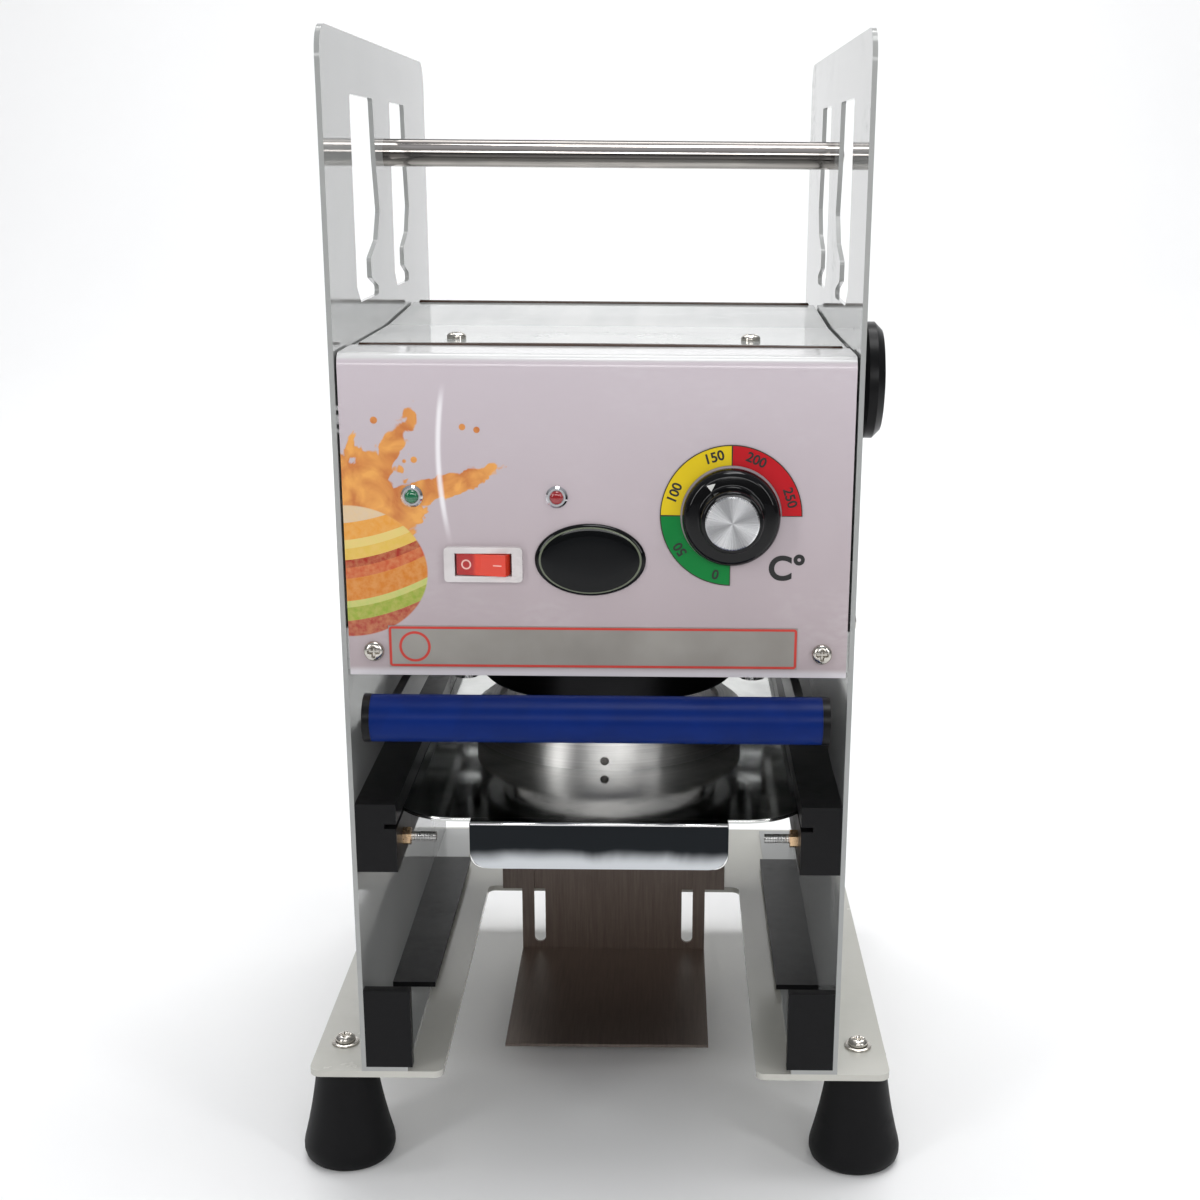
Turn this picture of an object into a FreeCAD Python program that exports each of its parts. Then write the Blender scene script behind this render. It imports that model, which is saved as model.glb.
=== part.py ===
"""Manual cup sealing machine: a parametric FreeCAD document, in millimetres.

Frame: +Z up, Z = 0 is the table under the rubber feet, the cup axis is X = 0, Y = 0,
and the operator stands at -Y.  +X is the operator's right.
"""
import FreeCAD, Part
import Sketcher
import math
import os

from FreeCAD import Placement, Rotation, Vector

os.makedirs("parts", exist_ok=True)
doc = FreeCAD.newDocument("CupSealer")

# ---------------------------------------------------------------- driving sizes
SIZES = [
    # base and side plates
    ("base_overhang", 23.2), ("base_depth", 293.2), ("base_thk", 3.0), ("base_corner", 5.0),
    ("front_to_axis", 135.0), ("foot_height", 52.0), ("foot_top_dia", 25.0),
    ("foot_bottom_dia", 41.0), ("foot_setback", 26.0),
    ("body_width", 206.0), ("plate_thk", 2.0), ("plate_height", 426.0), ("plate_short", 7.2),
    ("plate_corner", 12.0), ("flange_width", 20.0), ("cutout_margin", 13.0),
    ("cutout_depth", 206.0), ("cutout_corner", 4.0),
    # front blocks and clamping strips on the base
    ("block_thk", 5.0), ("block_height", 36.0), ("strip_start", 78.0), ("strip_length", 158.0),
    ("strip_thk", 2.5),
    # hook slots for the film reels
    ("hook_front", 60.0), ("hook_rear", 165.0), ("hook_width", 57.0), ("hook_rear_width", 46.0),
    ("hook_top", 406.0), ("hook_depth", 82.0),
    # rails and drawer
    ("rail_width", 17.0), ("rail_height", 30.0), ("rail_low", 96.0), ("rail_length", 262.0),
    ("groove_depth", 5.0), ("tray_drop", 9.0), ("slide_gap", 0.3), ("tray_thk", 1.5),
    ("tray_length", 264.0), ("tray_setback", 9.0), ("tray_corner", 28.0), ("lip_width", 108.0),
    ("lip_height", 20.0), ("lip_reach", 5.0), ("lip_corner", 8.0),
    # cup ring: its other diameters are the bore plus twice these reaches
    ("cup_bore_dia", 90.0), ("mould_height", 18.0), ("mould_reach", 19.0),
    ("rim_reach", 5.0), ("groove_start", 4.5), ("groove_end", 8.0),
    # press head
    ("head_gap", 10.0), ("head_travel", 11.2), ("cutter_reach", 15.0), ("cutter_height", 11.0),
    ("edge_reach", 7.0), ("cutter_wall", 1.6), ("heater_reach", 1.0),
    ("heater_gap", 0.6), ("insulation_thk", 3.0), ("crosshead_thk", 14.0),
    ("crosshead_depth", 48.0), ("crosshead_gap", 1.5), ("post_dia", 12.0),
    ("post_inset", 9.0), ("post_length", 137.0), ("beam_low", 205.0), ("beam_thk", 18.0),
    ("beam_depth", 40.0), ("bush_dia", 18.0), ("bush_flange", 24.0), ("run_gap", 0.05),
    ("spring_dia", 22.0), ("spring_wire", 2.0), ("spring_turns", 7.0),
    # lever and handle
    ("pivot_setback", 215.0), ("pivot_dia", 12.0), ("handle_reach", 13.5),
    ("handle_height", 168.0), ("pin_setback", 116.0), ("pin_rise", 5.6), ("pin_dia", 6.0),
    ("arm_thk", 3.5), ("arm_height", 14.0), ("arm_gap", 1.0), ("grip_dia", 19.0),
    ("grip_overhang", 6.5), ("core_dia", 10.0), ("cap_thk", 3.0),
    # casing
    ("panel_low", 182.0), ("panel_high", 310.0), ("panel_thk", 1.5), ("panel_gap", 1.0),
    ("panel_flange", 33.0), ("panel_bend", 5.0), ("cover_front", 38.0), ("cover_bend", 134.0),
    ("cover_rear", 222.0), ("cover_rise", 4.0), ("cover_lip", 10.0), ("rear_low", 150.0),
    ("rear_setback", 232.0), ("tie_dia", 12.0), ("tie_setback", 146.0), ("tie_height", 384.0),
    ("guide_dia", 8.0), ("screw_dia", 4.0), ("head_dia", 8.2), ("head_thk", 2.8),
    # film feed
    ("feed_setback", 46.0), ("feed_height", 296.0), ("feed_roller_dia", 18.0),
    ("feed_shaft_dia", 6.0), ("knob_dia", 47.0), ("knob_thk", 9.5), ("knob_gap", 2.5),
    # controls on the panel
    ("dial_x", 52.5), ("dial_height", 248.0), ("dial_outer", 56.0), ("dial_inner", 40.0),
    ("skirt_dia", 38.6), ("skirt_thk", 6.0), ("knob_top_dia", 25.0), ("knob_top_height", 14.0),
    ("knob_cap_dia", 21.0), ("label_thk", 0.5), ("lamp_height", 255.0), ("green_x", -72.7),
    ("red_x", -16.0), ("lamp_dia", 8.7), ("lens_dia", 5.6), ("switch_x", -45.2),
    ("switch_height", 228.0), ("switch_width", 31.0), ("switch_tall", 14.0),
    ("rocker_width", 22.0), ("rocker_tall", 8.6), ("badge_x", -2.9), ("badge_height", 230.0),
    ("badge_width", 44.0), ("badge_tall", 29.0), ("badge_thk", 2.6), ("notice_width", 164.0),
    ("notice_low", 185.5), ("notice_tall", 17.0), ("rocker_pivot", 1.9),
    # mains inlet at the rear
    ("inlet_x", -58.0), ("inlet_height", 198.0),
    # cup shelf
    ("shelf_width", 99.0), ("shelf_depth", 112.0), ("shelf_drop", 31.0), ("shelf_thk", 1.5),
    ("shelf_top", 72.0), ("shelf_setback", 202.0), ("slot_span", 80.0), ("slot_width", 6.0),
    ("clamp_height", 50.0), ("support_thk", 3.0), ("support_width", 120.0),
]

sheet = doc.addObject("Spreadsheet::Sheet", "Size")
for row, (word, number) in enumerate(SIZES, start=1):
    sheet.set(f"A{row}", word)
    sheet.set(f"B{row}", str(number))
    sheet.setAlias(f"B{row}", word)
doc.recompute()


class Dim:
    """A length held twice: as an expression on the sheet's cells and as its number."""

    def __init__(self, text, number):
        self.text = text
        self.number = number

    def join(self, sign, other, number):
        return Dim(f"({self.text} {sign} {other.text})", number)

    def __add__(self, other):
        other = dim(other)
        return self.join("+", other, self.number + other.number)

    def __sub__(self, other):
        other = dim(other)
        return self.join("-", other, self.number - other.number)

    def __mul__(self, factor):
        factor = dim(factor)
        return self.join("*", factor, self.number * factor.number)

    def __truediv__(self, factor):
        factor = dim(factor)
        return self.join("/", factor, self.number / factor.number)

    def __radd__(self, other):
        return dim(other) + self

    def __rsub__(self, other):
        return dim(other) - self

    def __rmul__(self, other):
        return dim(other) * self

    def __neg__(self):
        return Dim(f"(-1 * {self.text})", -self.number)


def dim(thing):
    """Turn a bare number into a Dim and leave a Dim as it is."""
    if isinstance(thing, Dim):
        return thing
    return Dim(f"({float(thing)!r})", float(thing))


def size(word):
    return Dim(f"Size.{word}", float(sheet.get(word)))


counter = {"made": 0}


def new(kind):
    counter["made"] += 1
    return doc.addObject(kind, f"Piece{counter['made']:03d}")


def bind(thing, prop, length):
    thing.setExpression(prop, dim(length).text)


def place(thing, x=0.0, y=0.0, z=0.0, turn=None):
    """Put an object's own origin at (x, y, z), turned by an optional Rotation."""
    if turn is not None:
        thing.Placement = Placement(Vector(0, 0, 0), turn)
    for letter, length in (("x", x), ("y", y), ("z", z)):
        bind(thing, f".Placement.Base.{letter}", length)
    return thing


def box(x0, x1, y0, y1, z0, z1):
    """A block between two opposite corners."""
    block = new("Part::Box")
    bind(block, "Length", dim(x1) - x0)
    bind(block, "Width", dim(y1) - y0)
    bind(block, "Height", dim(z1) - z0)
    return place(block, x0, y0, z0)


TURNS = {
    "x": Rotation(Vector(0, 1, 0), 90),
    "y": Rotation(Vector(1, 0, 0), -90),
    "z": Rotation(),
}


def rod(axis, x, y, z, dia, length):
    """A cylinder that starts at (x, y, z) and runs along +axis."""
    bar = new("Part::Cylinder")
    bind(bar, "Radius", dim(dia) / 2)
    bind(bar, "Height", length)
    return place(bar, x, y, z, TURNS[axis])


def fuse(*pieces):
    """One solid out of several that touch or overlap."""
    if len(pieces) == 1:
        return pieces[0]
    joined = new("Part::MultiFuse")
    joined.Shapes = list(pieces)
    joined.Refine = True
    return joined


def cut(base, *tools):
    result = new("Part::Cut")
    result.Base = base
    result.Tool = fuse(*tools)
    result.Refine = True
    return result


def group(*pieces):
    """Separate solids that share one node."""
    together = new("Part::Compound")
    together.Links = list(pieces)
    return together


def rounded(base, axis, radius, keep=lambda point: True):
    """Round the straight edges along one axis whose middle passes the keep test."""
    doc.recompute()
    way = {"x": Vector(1, 0, 0), "y": Vector(0, 1, 0), "z": Vector(0, 0, 1)}[axis]
    picks = []
    for number, edge in enumerate(base.Shape.Edges, start=1):
        if not isinstance(edge.Curve, Part.Line):
            continue
        run = edge.Vertexes[-1].Point - edge.Vertexes[0].Point
        if abs(run.dot(way)) < 0.999 * run.Length:
            continue
        if keep(edge.CenterOfMass):
            picks.append((number, radius.number, radius.number))
    result = new("Part::Fillet")
    result.Base = base
    result.Edges = picks
    return result


PLANES = {"xy": "XY_Plane", "xz": "XZ_Plane", "yz": "YZ_Plane"}


def sketch_on(body, plane, corners):
    """A closed outline of straight sides; every corner is set by two bound sizes."""
    sketch = body.newObject("Sketcher::SketchObject", f"{body.Name}Outline")
    origin = [f for f in body.Origin.OriginFeatures if f.Role == PLANES[plane]][0]
    sketch.AttachmentSupport = [(origin, "")]
    sketch.MapMode = "FlatFace"
    points = [Vector(dim(u).number, dim(v).number, 0) for u, v in corners]
    count = len(points)
    for at in range(count):
        sketch.addGeometry(Part.LineSegment(points[at], points[(at + 1) % count]), False)
    for at in range(count):
        sketch.addConstraint(Sketcher.Constraint("Coincident", at, 2, (at + 1) % count, 1))
    for at, (u, v) in enumerate(corners):
        for kind, length in (("DistanceX", u), ("DistanceY", v)):
            row = sketch.addConstraint(
                Sketcher.Constraint(kind, -1, 1, at, 1, dim(length).number))
            sketch.setExpression(f"Constraints[{row}]", dim(length).text)
    return sketch


def padded(plane, corners, thickness, x=0.0, y=0.0, z=0.0):
    """A flat outline given a thickness; xz outlines grow towards -Y, the others towards +."""
    body = new("PartDesign::Body")
    pad = body.newObject("PartDesign::Pad", f"{body.Name}Pad")
    pad.Profile = sketch_on(body, plane, corners)
    bind(pad, "Length", thickness)
    body.Tip = pad
    return place(body, x, y, z)


def turned(corners, x=0.0, y=0.0, z=0.0, turn=None):
    """A radius-height outline spun about its own +Z axis."""
    body = new("PartDesign::Body")
    sketch = sketch_on(body, "xz", corners)
    spin = body.newObject("PartDesign::Revolution", f"{body.Name}Spin")
    spin.Profile = sketch
    spin.ReferenceAxis = (sketch, ["V_Axis"])
    spin.Angle = 360.0
    body.Tip = spin
    return place(body, x, y, z, turn)


NODES = []


def node(name, piece):
    piece.Label = name
    NODES.append(piece)
    return piece


# ---------------------------------------------------------------- shared places
front = -size("front_to_axis")
under = size("foot_height")
deck = under + size("base_thk")
inner = size("body_width") / 2 - size("plate_thk")
outer = size("body_width") / 2
rear = front + size("base_depth")
screw = size("screw_dia")
SIDES = ((-1, "left"), (1, "right"))


def round_cup(reach):
    """A diameter that follows the cup: its bore plus twice the named reach."""
    return size("cup_bore_dia") + size(reach) * 2


mould_dia = round_cup("mould_reach")
cutter_dia = round_cup("cutter_reach")
heater_dia = round_cup("heater_reach")


def back(setback):
    """Y of something a given distance behind the front plane."""
    return front + setback


def up(height):
    """Z of something a given height above the base plate's underside."""
    return under + height


def pan_screw(axis, sign, x, y, z, reach, dia=screw, head=size("head_dia"),
              thick=size("head_thk")):
    """A pan-head screw whose head sits on (x, y, z) and whose shank runs along -sign*axis."""
    toward = {"x": Vector(1, 0, 0), "y": Vector(0, 1, 0), "z": Vector(0, 0, 1)}[axis] * sign
    turn = Rotation(Vector(0, 0, 1), toward)
    dome = [(0.0, -reach), (dia / 2, -reach), (dia / 2, 0.0), (head / 2, 0.0),
            (head / 2, thick * 0.45), (head * 0.36, thick * 0.86), (head * 0.14, thick),
            (0.0, thick)]
    body = turned(dome, x, y, z, turn)
    return body


# ---------------------------------------------------------------- base and side plates
foot_x = outer + size("base_overhang") / 2
foot_ys = (back(size("foot_setback")), rear - size("foot_setback"))
foot_places = [(sign, y) for sign, _ in SIDES for y in foot_ys]
foot_hole = screw + 1.0


def make_base():
    half = outer + size("base_overhang")
    sheet_metal = box(-half, half, front, rear, under, deck)
    sheet_metal = rounded(sheet_metal, "z", size("base_corner"))
    gap = inner - size("flange_width") - size("cutout_margin")
    opening = box(-gap, gap, front - 10, back(size("cutout_depth")), under - 1, deck + 1)
    opening = rounded(opening, "z", size("cutout_corner"), lambda p: p.y > front.number)
    holes = [rod("z", foot_x * sign, y, under - 1, foot_hole, size("base_thk") + 2)
             for sign, y in foot_places]
    blank = rounded(cut(sheet_metal, opening), "z", size("cutout_corner"),
                    lambda p: p.y < (front + 1).number and abs(p.x) < inner.number)
    node("base_plate", cut(blank, *holes))


make_base()


def hook_slot(setback, width):
    """One reel slot: a tall mouth, a nose that narrows it and a seat below the nose."""
    y0 = back(setback)
    top = up(size("hook_top"))
    drop = size("hook_depth")
    outline = [(0.0, 0.0), (1.0, 0.0), (1.05, 0.30), (1.16, 0.57), (1.0, 0.72), (0.66, 0.80),
               (0.66, 0.90), (0.98, 0.955), (0.98, 1.0), (0.15, 1.0), (0.0, 0.92)]
    corners = [(y0 + width * across, top - drop * down) for across, down in outline]
    tool = padded("yz", corners, size("plate_thk") + 2)
    return rounded(tool, "x", dim(2.0))


rail_top = up(size("rail_low") + size("rail_height"))
tray_top = rail_top - size("tray_drop")
tray_low = tray_top - size("tray_thk")
mould_top = tray_top + size("mould_height")
head_low = mould_top + size("head_gap")
cutter_top = head_low + size("cutter_height")
cross_low = cutter_top + size("insulation_thk")
cross_top = cross_low + size("crosshead_thk")
handle_y = front - size("handle_reach")
handle_z = up(size("handle_height"))
pin_y = back(size("pin_setback"))
pin_z = cross_low + size("pin_rise")
pivot_y = back(size("pivot_setback"))
pivot_z = handle_z + (pin_z - handle_z) * ((pivot_y - handle_y) / (pin_y - handle_y))
tie_z = up(size("tie_height"))
tie_y = back(size("tie_setback"))
feed_y = back(size("feed_setback"))
feed_z = up(size("feed_height"))
beam_z = up(size("beam_low"))
guide_places = ((back(22.0), up(200.0)), (back(200.0), up(146.0)))
rail_screw_z = up(size("rail_low") + 9.0)
beam_screw_z = beam_z + size("beam_thk") / 2
block_screw_z = deck + size("plate_thk") + size("block_height") / 2
plate_screws = [
    (back(34.0), rail_screw_z, 8.0), (back(150.0), rail_screw_z, 8.0),
    (-size("beam_depth") / 4, beam_screw_z, 12.0), (size("beam_depth") / 4, beam_screw_z, 12.0),
    (tie_y, tie_z, 12.0), (pivot_y, pivot_z, 12.0),
    (guide_places[0][0], guide_places[0][1], 10.0),
    (guide_places[1][0], guide_places[1][1], 10.0),
]
bush_outer = size("feed_shaft_dia") + 6.0


def make_side_plates():
    thk = size("plate_thk")
    y1 = rear - size("plate_short")
    for sign, name in SIDES:
        x0 = outer * -1 if sign < 0 else inner
        wall = box(x0, x0 + thk, front, y1, deck, deck + size("plate_height"))
        wall = rounded(wall, "x", size("plate_corner"), lambda p: p.z > pivot_z.number)
        foot_x0 = inner * -1 if sign < 0 else inner - size("flange_width") + thk
        flange = box(foot_x0, foot_x0 + size("flange_width") - thk, front, y1, deck, deck + thk)
        slots = [place(hook_slot(size("hook_front"), size("hook_width")), x=x0 - 1),
                 place(hook_slot(size("hook_rear"), size("hook_rear_width")), x=x0 - 1)]
        holes = [rod("x", x0 - 1, y, z, screw, thk + 2) for y, z, _ in plate_screws]
        holes.append(rod("x", x0 - 1, feed_y, feed_z, bush_outer, thk + 2))
        node(f"{name}_side_plate", cut(fuse(wall, flange), *slots, *holes))


make_side_plates()


def make_base_trim():
    """The black front blocks and the flat strips that clamp the side plates' flanges."""
    width = size("flange_width")
    floor = deck + size("plate_thk")
    blocks = []
    strips = []
    strip_y0 = back(size("strip_start"))
    strip_y1 = strip_y0 + size("strip_length")
    for sign, _ in SIDES:
        x0 = inner * -1 if sign < 0 else inner - width
        block = box(x0, x0 + width, front, front + size("block_thk"), floor,
                    floor + size("block_height"))
        blocks.append(block)
        strips.append(box(x0, x0 + width, strip_y0, strip_y1, floor,
                          floor + size("strip_thk")))
    node("front_blocks", group(*blocks))
    node("clamp_strips", group(*strips))


make_base_trim()


def make_feet():
    bore = 4.2
    tall = under
    radius_low = size("foot_bottom_dia") / 2
    radius_high = size("foot_top_dia") / 2
    outline = [(bore / 2, 0.0), (radius_low - 2, 0.0), (radius_low, 2.0), (radius_low, 6.0),
               (radius_low - 1.2, 9.0), (radius_high, tall), (bore / 2, tall)]
    for row, y in zip(("front", "rear"), foot_ys):
        node(f"{row}_feet", group(*[turned(outline, foot_x * sign, y, 0.0)
                                    for sign, _ in SIDES]))
    shank = 4.2
    washer = 12.0
    screws = []
    for sign, y in foot_places:
        ring = rod("z", foot_x * sign, y, deck, washer, 1.0)
        ring = fuse(ring, pan_screw("z", 1, foot_x * sign, y, deck + 1, size("base_thk") + 19.0,
                                    dim(shank), dim(9.0), dim(3.4)))
        screws.append(ring)
    node("foot_screws", group(*screws))


make_feet()


# ---------------------------------------------------------------- rails and drawer
tray_half = inner - size("rail_width") + size("groove_depth") - size("slide_gap")
stop_y = back(19.0)
stop_z = up(size("rail_low") + 9.0)
stop_dia = 4.0
SCREW_ANGLES = [math.radians(45 + 90 * turn) for turn in range(4)]
screw_ring = mould_dia / 2 - 4.5
press_over = size("head_travel") - size("head_gap")


def make_rails():
    for sign, name in SIDES:
        near = inner - size("rail_width")
        x0 = inner * -1 if sign < 0 else near
        bar = box(x0, x0 + size("rail_width"), front, back(size("rail_length")),
                  up(size("rail_low")), rail_top)
        groove_x = (near + size("groove_depth")) * -1 if sign < 0 else near - 1
        groove = box(groove_x, groove_x + size("groove_depth") + 1, front - 1,
                     back(size("rail_length")) + 1, tray_low - size("slide_gap"),
                     tray_top + size("slide_gap"))
        taps = []
        for y, z, reach in plate_screws[:2]:
            depth = reach - size("plate_thk")
            tap_x = inner * -1 if sign < 0 else inner - depth
            taps.append(rod("x", tap_x, y, z, screw, depth))
        stop_x = near * -1 - 8 if sign < 0 else near
        taps.append(rod("x", stop_x, stop_y, stop_z, stop_dia, 8.0))
        node(f"{name}_rail", cut(bar, groove, *taps))


make_rails()


def hexagon(x, y, z, across, length):
    """A nut-shaped prism along +X."""
    prism = new("Part::Prism")
    prism.Polygon = 6
    bind(prism, "Circumradius", dim(across) / math.sqrt(3))
    bind(prism, "Height", length)
    return place(prism, x, y, z, TURNS["x"])


def make_stops():
    near = inner - size("rail_width")
    nut = 3.2
    pieces = []
    for sign, _ in SIDES:
        nut_x = near * -1 if sign < 0 else near - nut
        bolt_x = near * -1 - 8 if sign < 0 else near - 14
        bolt = rod("x", bolt_x, stop_y, stop_z, stop_dia, 22.0)
        pieces.append(fuse(bolt, hexagon(nut_x, stop_y, stop_z, 7.0, nut)))
    node("stop_bolts", group(*pieces))


make_stops()


def make_drawer():
    y0 = back(size("tray_setback"))
    y1 = back(size("tray_length"))
    plate = box(-tray_half, tray_half, y0, y1, tray_low, tray_top)
    plate = rounded(plate, "z", size("tray_corner"), lambda p: p.y < 0)
    half = size("lip_width") / 2
    tongue = box(-half, half, y0 - size("lip_reach"), y0 + 1, tray_low, tray_top)
    lip_low = tray_top - size("lip_height")
    lip = box(-half, half, y0 - size("lip_reach") - size("tray_thk"),
              y0 - size("lip_reach"), lip_low, tray_top)
    lip = rounded(lip, "y", size("lip_corner"), lambda p: p.z < (lip_low + 1).number)
    hole = rod("z", 0.0, 0.0, tray_low - 1, round_cup("rim_reach"), size("tray_thk") + 2)
    holes = [rod("z", screw_ring * math.cos(a), screw_ring * math.sin(a), tray_low - 1, 3.0,
                 size("tray_thk") + 2) for a in SCREW_ANGLES]
    node("drawer_tray", cut(fuse(plate, tongue, lip), hole, *holes))


make_drawer()


def make_mould():
    """The cup ring: a bore, a seat for the cup's rim, a cutting groove and stepped land."""
    tall = size("mould_height")
    radius = mould_dia / 2
    bore = size("cup_bore_dia") / 2
    groove_in = round_cup("groove_start") / 2
    groove_out = round_cup("groove_end") / 2
    groove_low = tall - press_over - 2.8
    outline = [(bore, 0.0), (radius, 0.0), (radius, tall - 5), (radius - 2, tall - 5),
               (radius - 2, tall - 3.5), (radius - 4, tall - 3.5), (radius - 4, tall - 2),
               (radius - 6, tall - 2), (radius - 6, tall - 0.8), (groove_out, tall - 0.8),
               (groove_out, groove_low), (groove_in, groove_low), (groove_in, tall),
               (bore, tall)]
    ring = turned(outline, 0.0, 0.0, tray_top)
    taps = [rod("z", screw_ring * math.cos(a), screw_ring * math.sin(a), tray_top - 1, 3.0, 7.0)
            for a in SCREW_ANGLES]
    pinhole = rod("y", 0.0, radius * -1 - 1, tray_top + 4.4, 4.0, 12.0)
    node("mould_ring", cut(ring, pinhole, *taps))
    screws = [pan_screw("z", -1, screw_ring * math.cos(a), screw_ring * math.sin(a), tray_low,
                        size("tray_thk") + 5.5, dim(3.0), dim(5.6), dim(1.8))
              for a in SCREW_ANGLES]
    node("mould_screws", group(*screws))


make_mould()


# ---------------------------------------------------------------- press head
arm_offset = inner - size("rail_width") - size("arm_gap") - size("arm_thk")
crosshead_half = arm_offset - size("crosshead_gap")
post_x = crosshead_half - size("post_inset")
post_low = head_low - 2
post_top = post_low + size("post_length")
collar_thk = dim(6.0)
collar_low = post_top - collar_thk - 1


def make_head():
    half = crosshead_half
    depth = size("crosshead_depth")
    bar = box(-half, half, depth * -0.64, depth * 0.36, cross_low, cross_top)
    hub = rod("z", 0.0, 0.0, cross_low, cutter_dia, size("crosshead_thk") * 0.55)
    holes = [rod("z", post_x * sign, 0.0, cross_low - 1, size("post_dia"),
                 size("crosshead_thk") + 2) for sign, _ in SIDES]
    slots = []
    slot_long = 13.0
    slot_high = size("pin_dia") + 0.6
    for sign, _ in SIDES:
        x0 = half * -1 - 1 if sign < 0 else half - 9
        slot = box(x0, x0 + 10, pin_y - slot_long / 2, pin_y + slot_long / 2,
                   pin_z - slot_high / 2, pin_z + slot_high / 2)
        slots.append(slot)
    screw_spots = [(-24.0, 0.0), (24.0, 0.0)]
    taps = [rod("z", x, y, cross_low - 1, 4.0, size("crosshead_thk") + 2)
            for x, y in screw_spots]
    node("press_crosshead", cut(fuse(bar, hub), *holes, *slots, *taps))

    posts = []
    nuts = []
    for sign, _ in SIDES:
        x = post_x * sign
        post = rod("z", x, 0.0, post_low, size("post_dia"), size("post_length"))
        posts.append(post)
        nuts.append(cut(rod("z", x, 0.0, collar_low, size("spring_dia") + 2, collar_thk),
                        rod("z", x, 0.0, collar_low - 1, size("post_dia"), collar_thk + 2)))
        stop_length = beam_z - cross_top - size("slide_gap")
        nuts.append(cut(rod("z", x, 0.0, cross_top, size("post_dia") + 2, stop_length),
                        rod("z", x, 0.0, cross_top - 1, size("post_dia"), stop_length + 2)))
    node("guide_posts", group(*posts))
    node("post_collars", group(*nuts))

    plate = rod("z", 0.0, 0.0, cutter_top, heater_dia, size("insulation_thk"))
    bores = [rod("z", x, y, cutter_top - 1, 4.0, size("insulation_thk") + 2)
             for x, y in screw_spots]
    node("insulation_disc", cut(plate, *bores))

    heater_r = heater_dia / 2
    heat_low = head_low + press_over + size("heater_gap")
    step = cutter_top - 3.6
    boss_r = heater_dia / 2 - 12
    heater = turned([(0.0, heat_low), (heater_r - 1, heat_low), (heater_r, heat_low + 1),
                     (heater_r, step), (boss_r, step), (boss_r, cutter_top),
                     (0.0, cutter_top)])
    screw_taps = [rod("z", x, y, step, 4.0, 5.0) for x, y in screw_spots]
    node("heater_plate", cut(heater, *screw_taps))
    element = cut(rod("z", 0.0, 0.0, step, heater_dia - 6, 3.6),
                  rod("z", 0.0, 0.0, step - 1, boss_r * 2 + 2, 5.6))
    node("heating_element", element)
    heater_screws = [pan_screw("z", 1, x, y, cross_top, cross_top - step, dim(4.0), dim(7.6),
                               dim(2.6)) for x, y in screw_spots]
    node("heater_screws", group(*heater_screws))

    outer_r = cutter_dia / 2
    edge_r = round_cup("edge_reach") / 2
    wall = size("cutter_wall")
    body_low = head_low + 2.2
    cutter = turned([(edge_r - wall, head_low), (edge_r, head_low), (edge_r, body_low),
                     (outer_r - 1, body_low), (outer_r, body_low + 1), (outer_r, cross_low),
                     (heater_r + 0.4, cross_low), (heater_r + 0.4, body_low + 2),
                     (edge_r - wall, body_low)])
    node("cutter_ring", cutter)


make_head()


# ---------------------------------------------------------------- fixed guides and springs
def make_guides():
    """The cross beam that carries the posts' bushes, and the springs above it."""
    half_deep = size("beam_depth") / 2
    beam = box(-inner, inner, half_deep * -1, half_deep, beam_z, beam_z + size("beam_thk"))
    holes = [rod("z", post_x * sign, 0.0, beam_z - 1, size("bush_dia"), size("beam_thk") + 2)
             for sign, _ in SIDES]
    for sign, _ in SIDES:
        for y, z, reach in plate_screws[2:4]:
            depth = reach - size("plate_thk")
            x0 = inner * -1 if sign < 0 else inner - depth
            holes.append(rod("x", x0, y, z, screw, depth))
    node("guide_beam", cut(beam, *holes))

    bore = size("post_dia") / 2 + size("run_gap")
    body = size("bush_dia") / 2
    rim = size("bush_flange") / 2
    tall = size("beam_thk")
    outline = [(bore, 0.0), (body, 0.0), (body, tall), (rim, tall), (rim, tall + 3),
               (bore, tall + 3)]
    node("post_bushes", group(*[turned(outline, post_x * sign, 0.0, beam_z)
                                for sign, _ in SIDES]))

    wire = size("spring_wire")
    low = beam_z + size("beam_thk") + 3 + wire / 2
    high = collar_low - wire / 2
    coils = []
    for sign, _ in SIDES:
        coils.append(coil(post_x.number * sign, low.number, high.number))
    springs = new("Part::Feature")
    springs.Shape = Part.makeCompound(coils)
    springs.Placement = Placement()
    node("return_springs", springs)


def coil(x, low, high):
    """A helical wire between two heights, made by sweeping its round section."""
    wire = size("spring_wire").number
    radius = (size("spring_dia").number - wire) / 2
    tall = high - low
    path = Part.makeLongHelix(tall / size("spring_turns").number, tall, radius)
    path.translate(Vector(x, 0, low))
    section = Part.makeCircle(wire / 2, Vector(x + radius, 0, low), Vector(0, 1, 0))
    return Part.Wire(path).makePipeShell([Part.Wire(section)], True, True)


make_guides()


# ---------------------------------------------------------------- lever and handle
def tilted_bar(x0, thickness, y0, z0, y1, z1, tall):
    """A flat bar of a given height whose middle line runs from (y0, z0) to (y1, z1)."""
    run = math.hypot(y1.number - y0.number, z1.number - z0.number)
    up_z = dim(tall) / 2 * ((y1 - y0) / run)
    up_y = dim(tall) / 2 * ((z1 - z0) / run)
    corners = [(y0 + up_y, z0 - up_z), (y1 + up_y, z1 - up_z), (y1 - up_y, z1 + up_z),
               (y0 - up_y, z0 + up_z)]
    return padded("yz", corners, thickness, x=x0)


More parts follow.
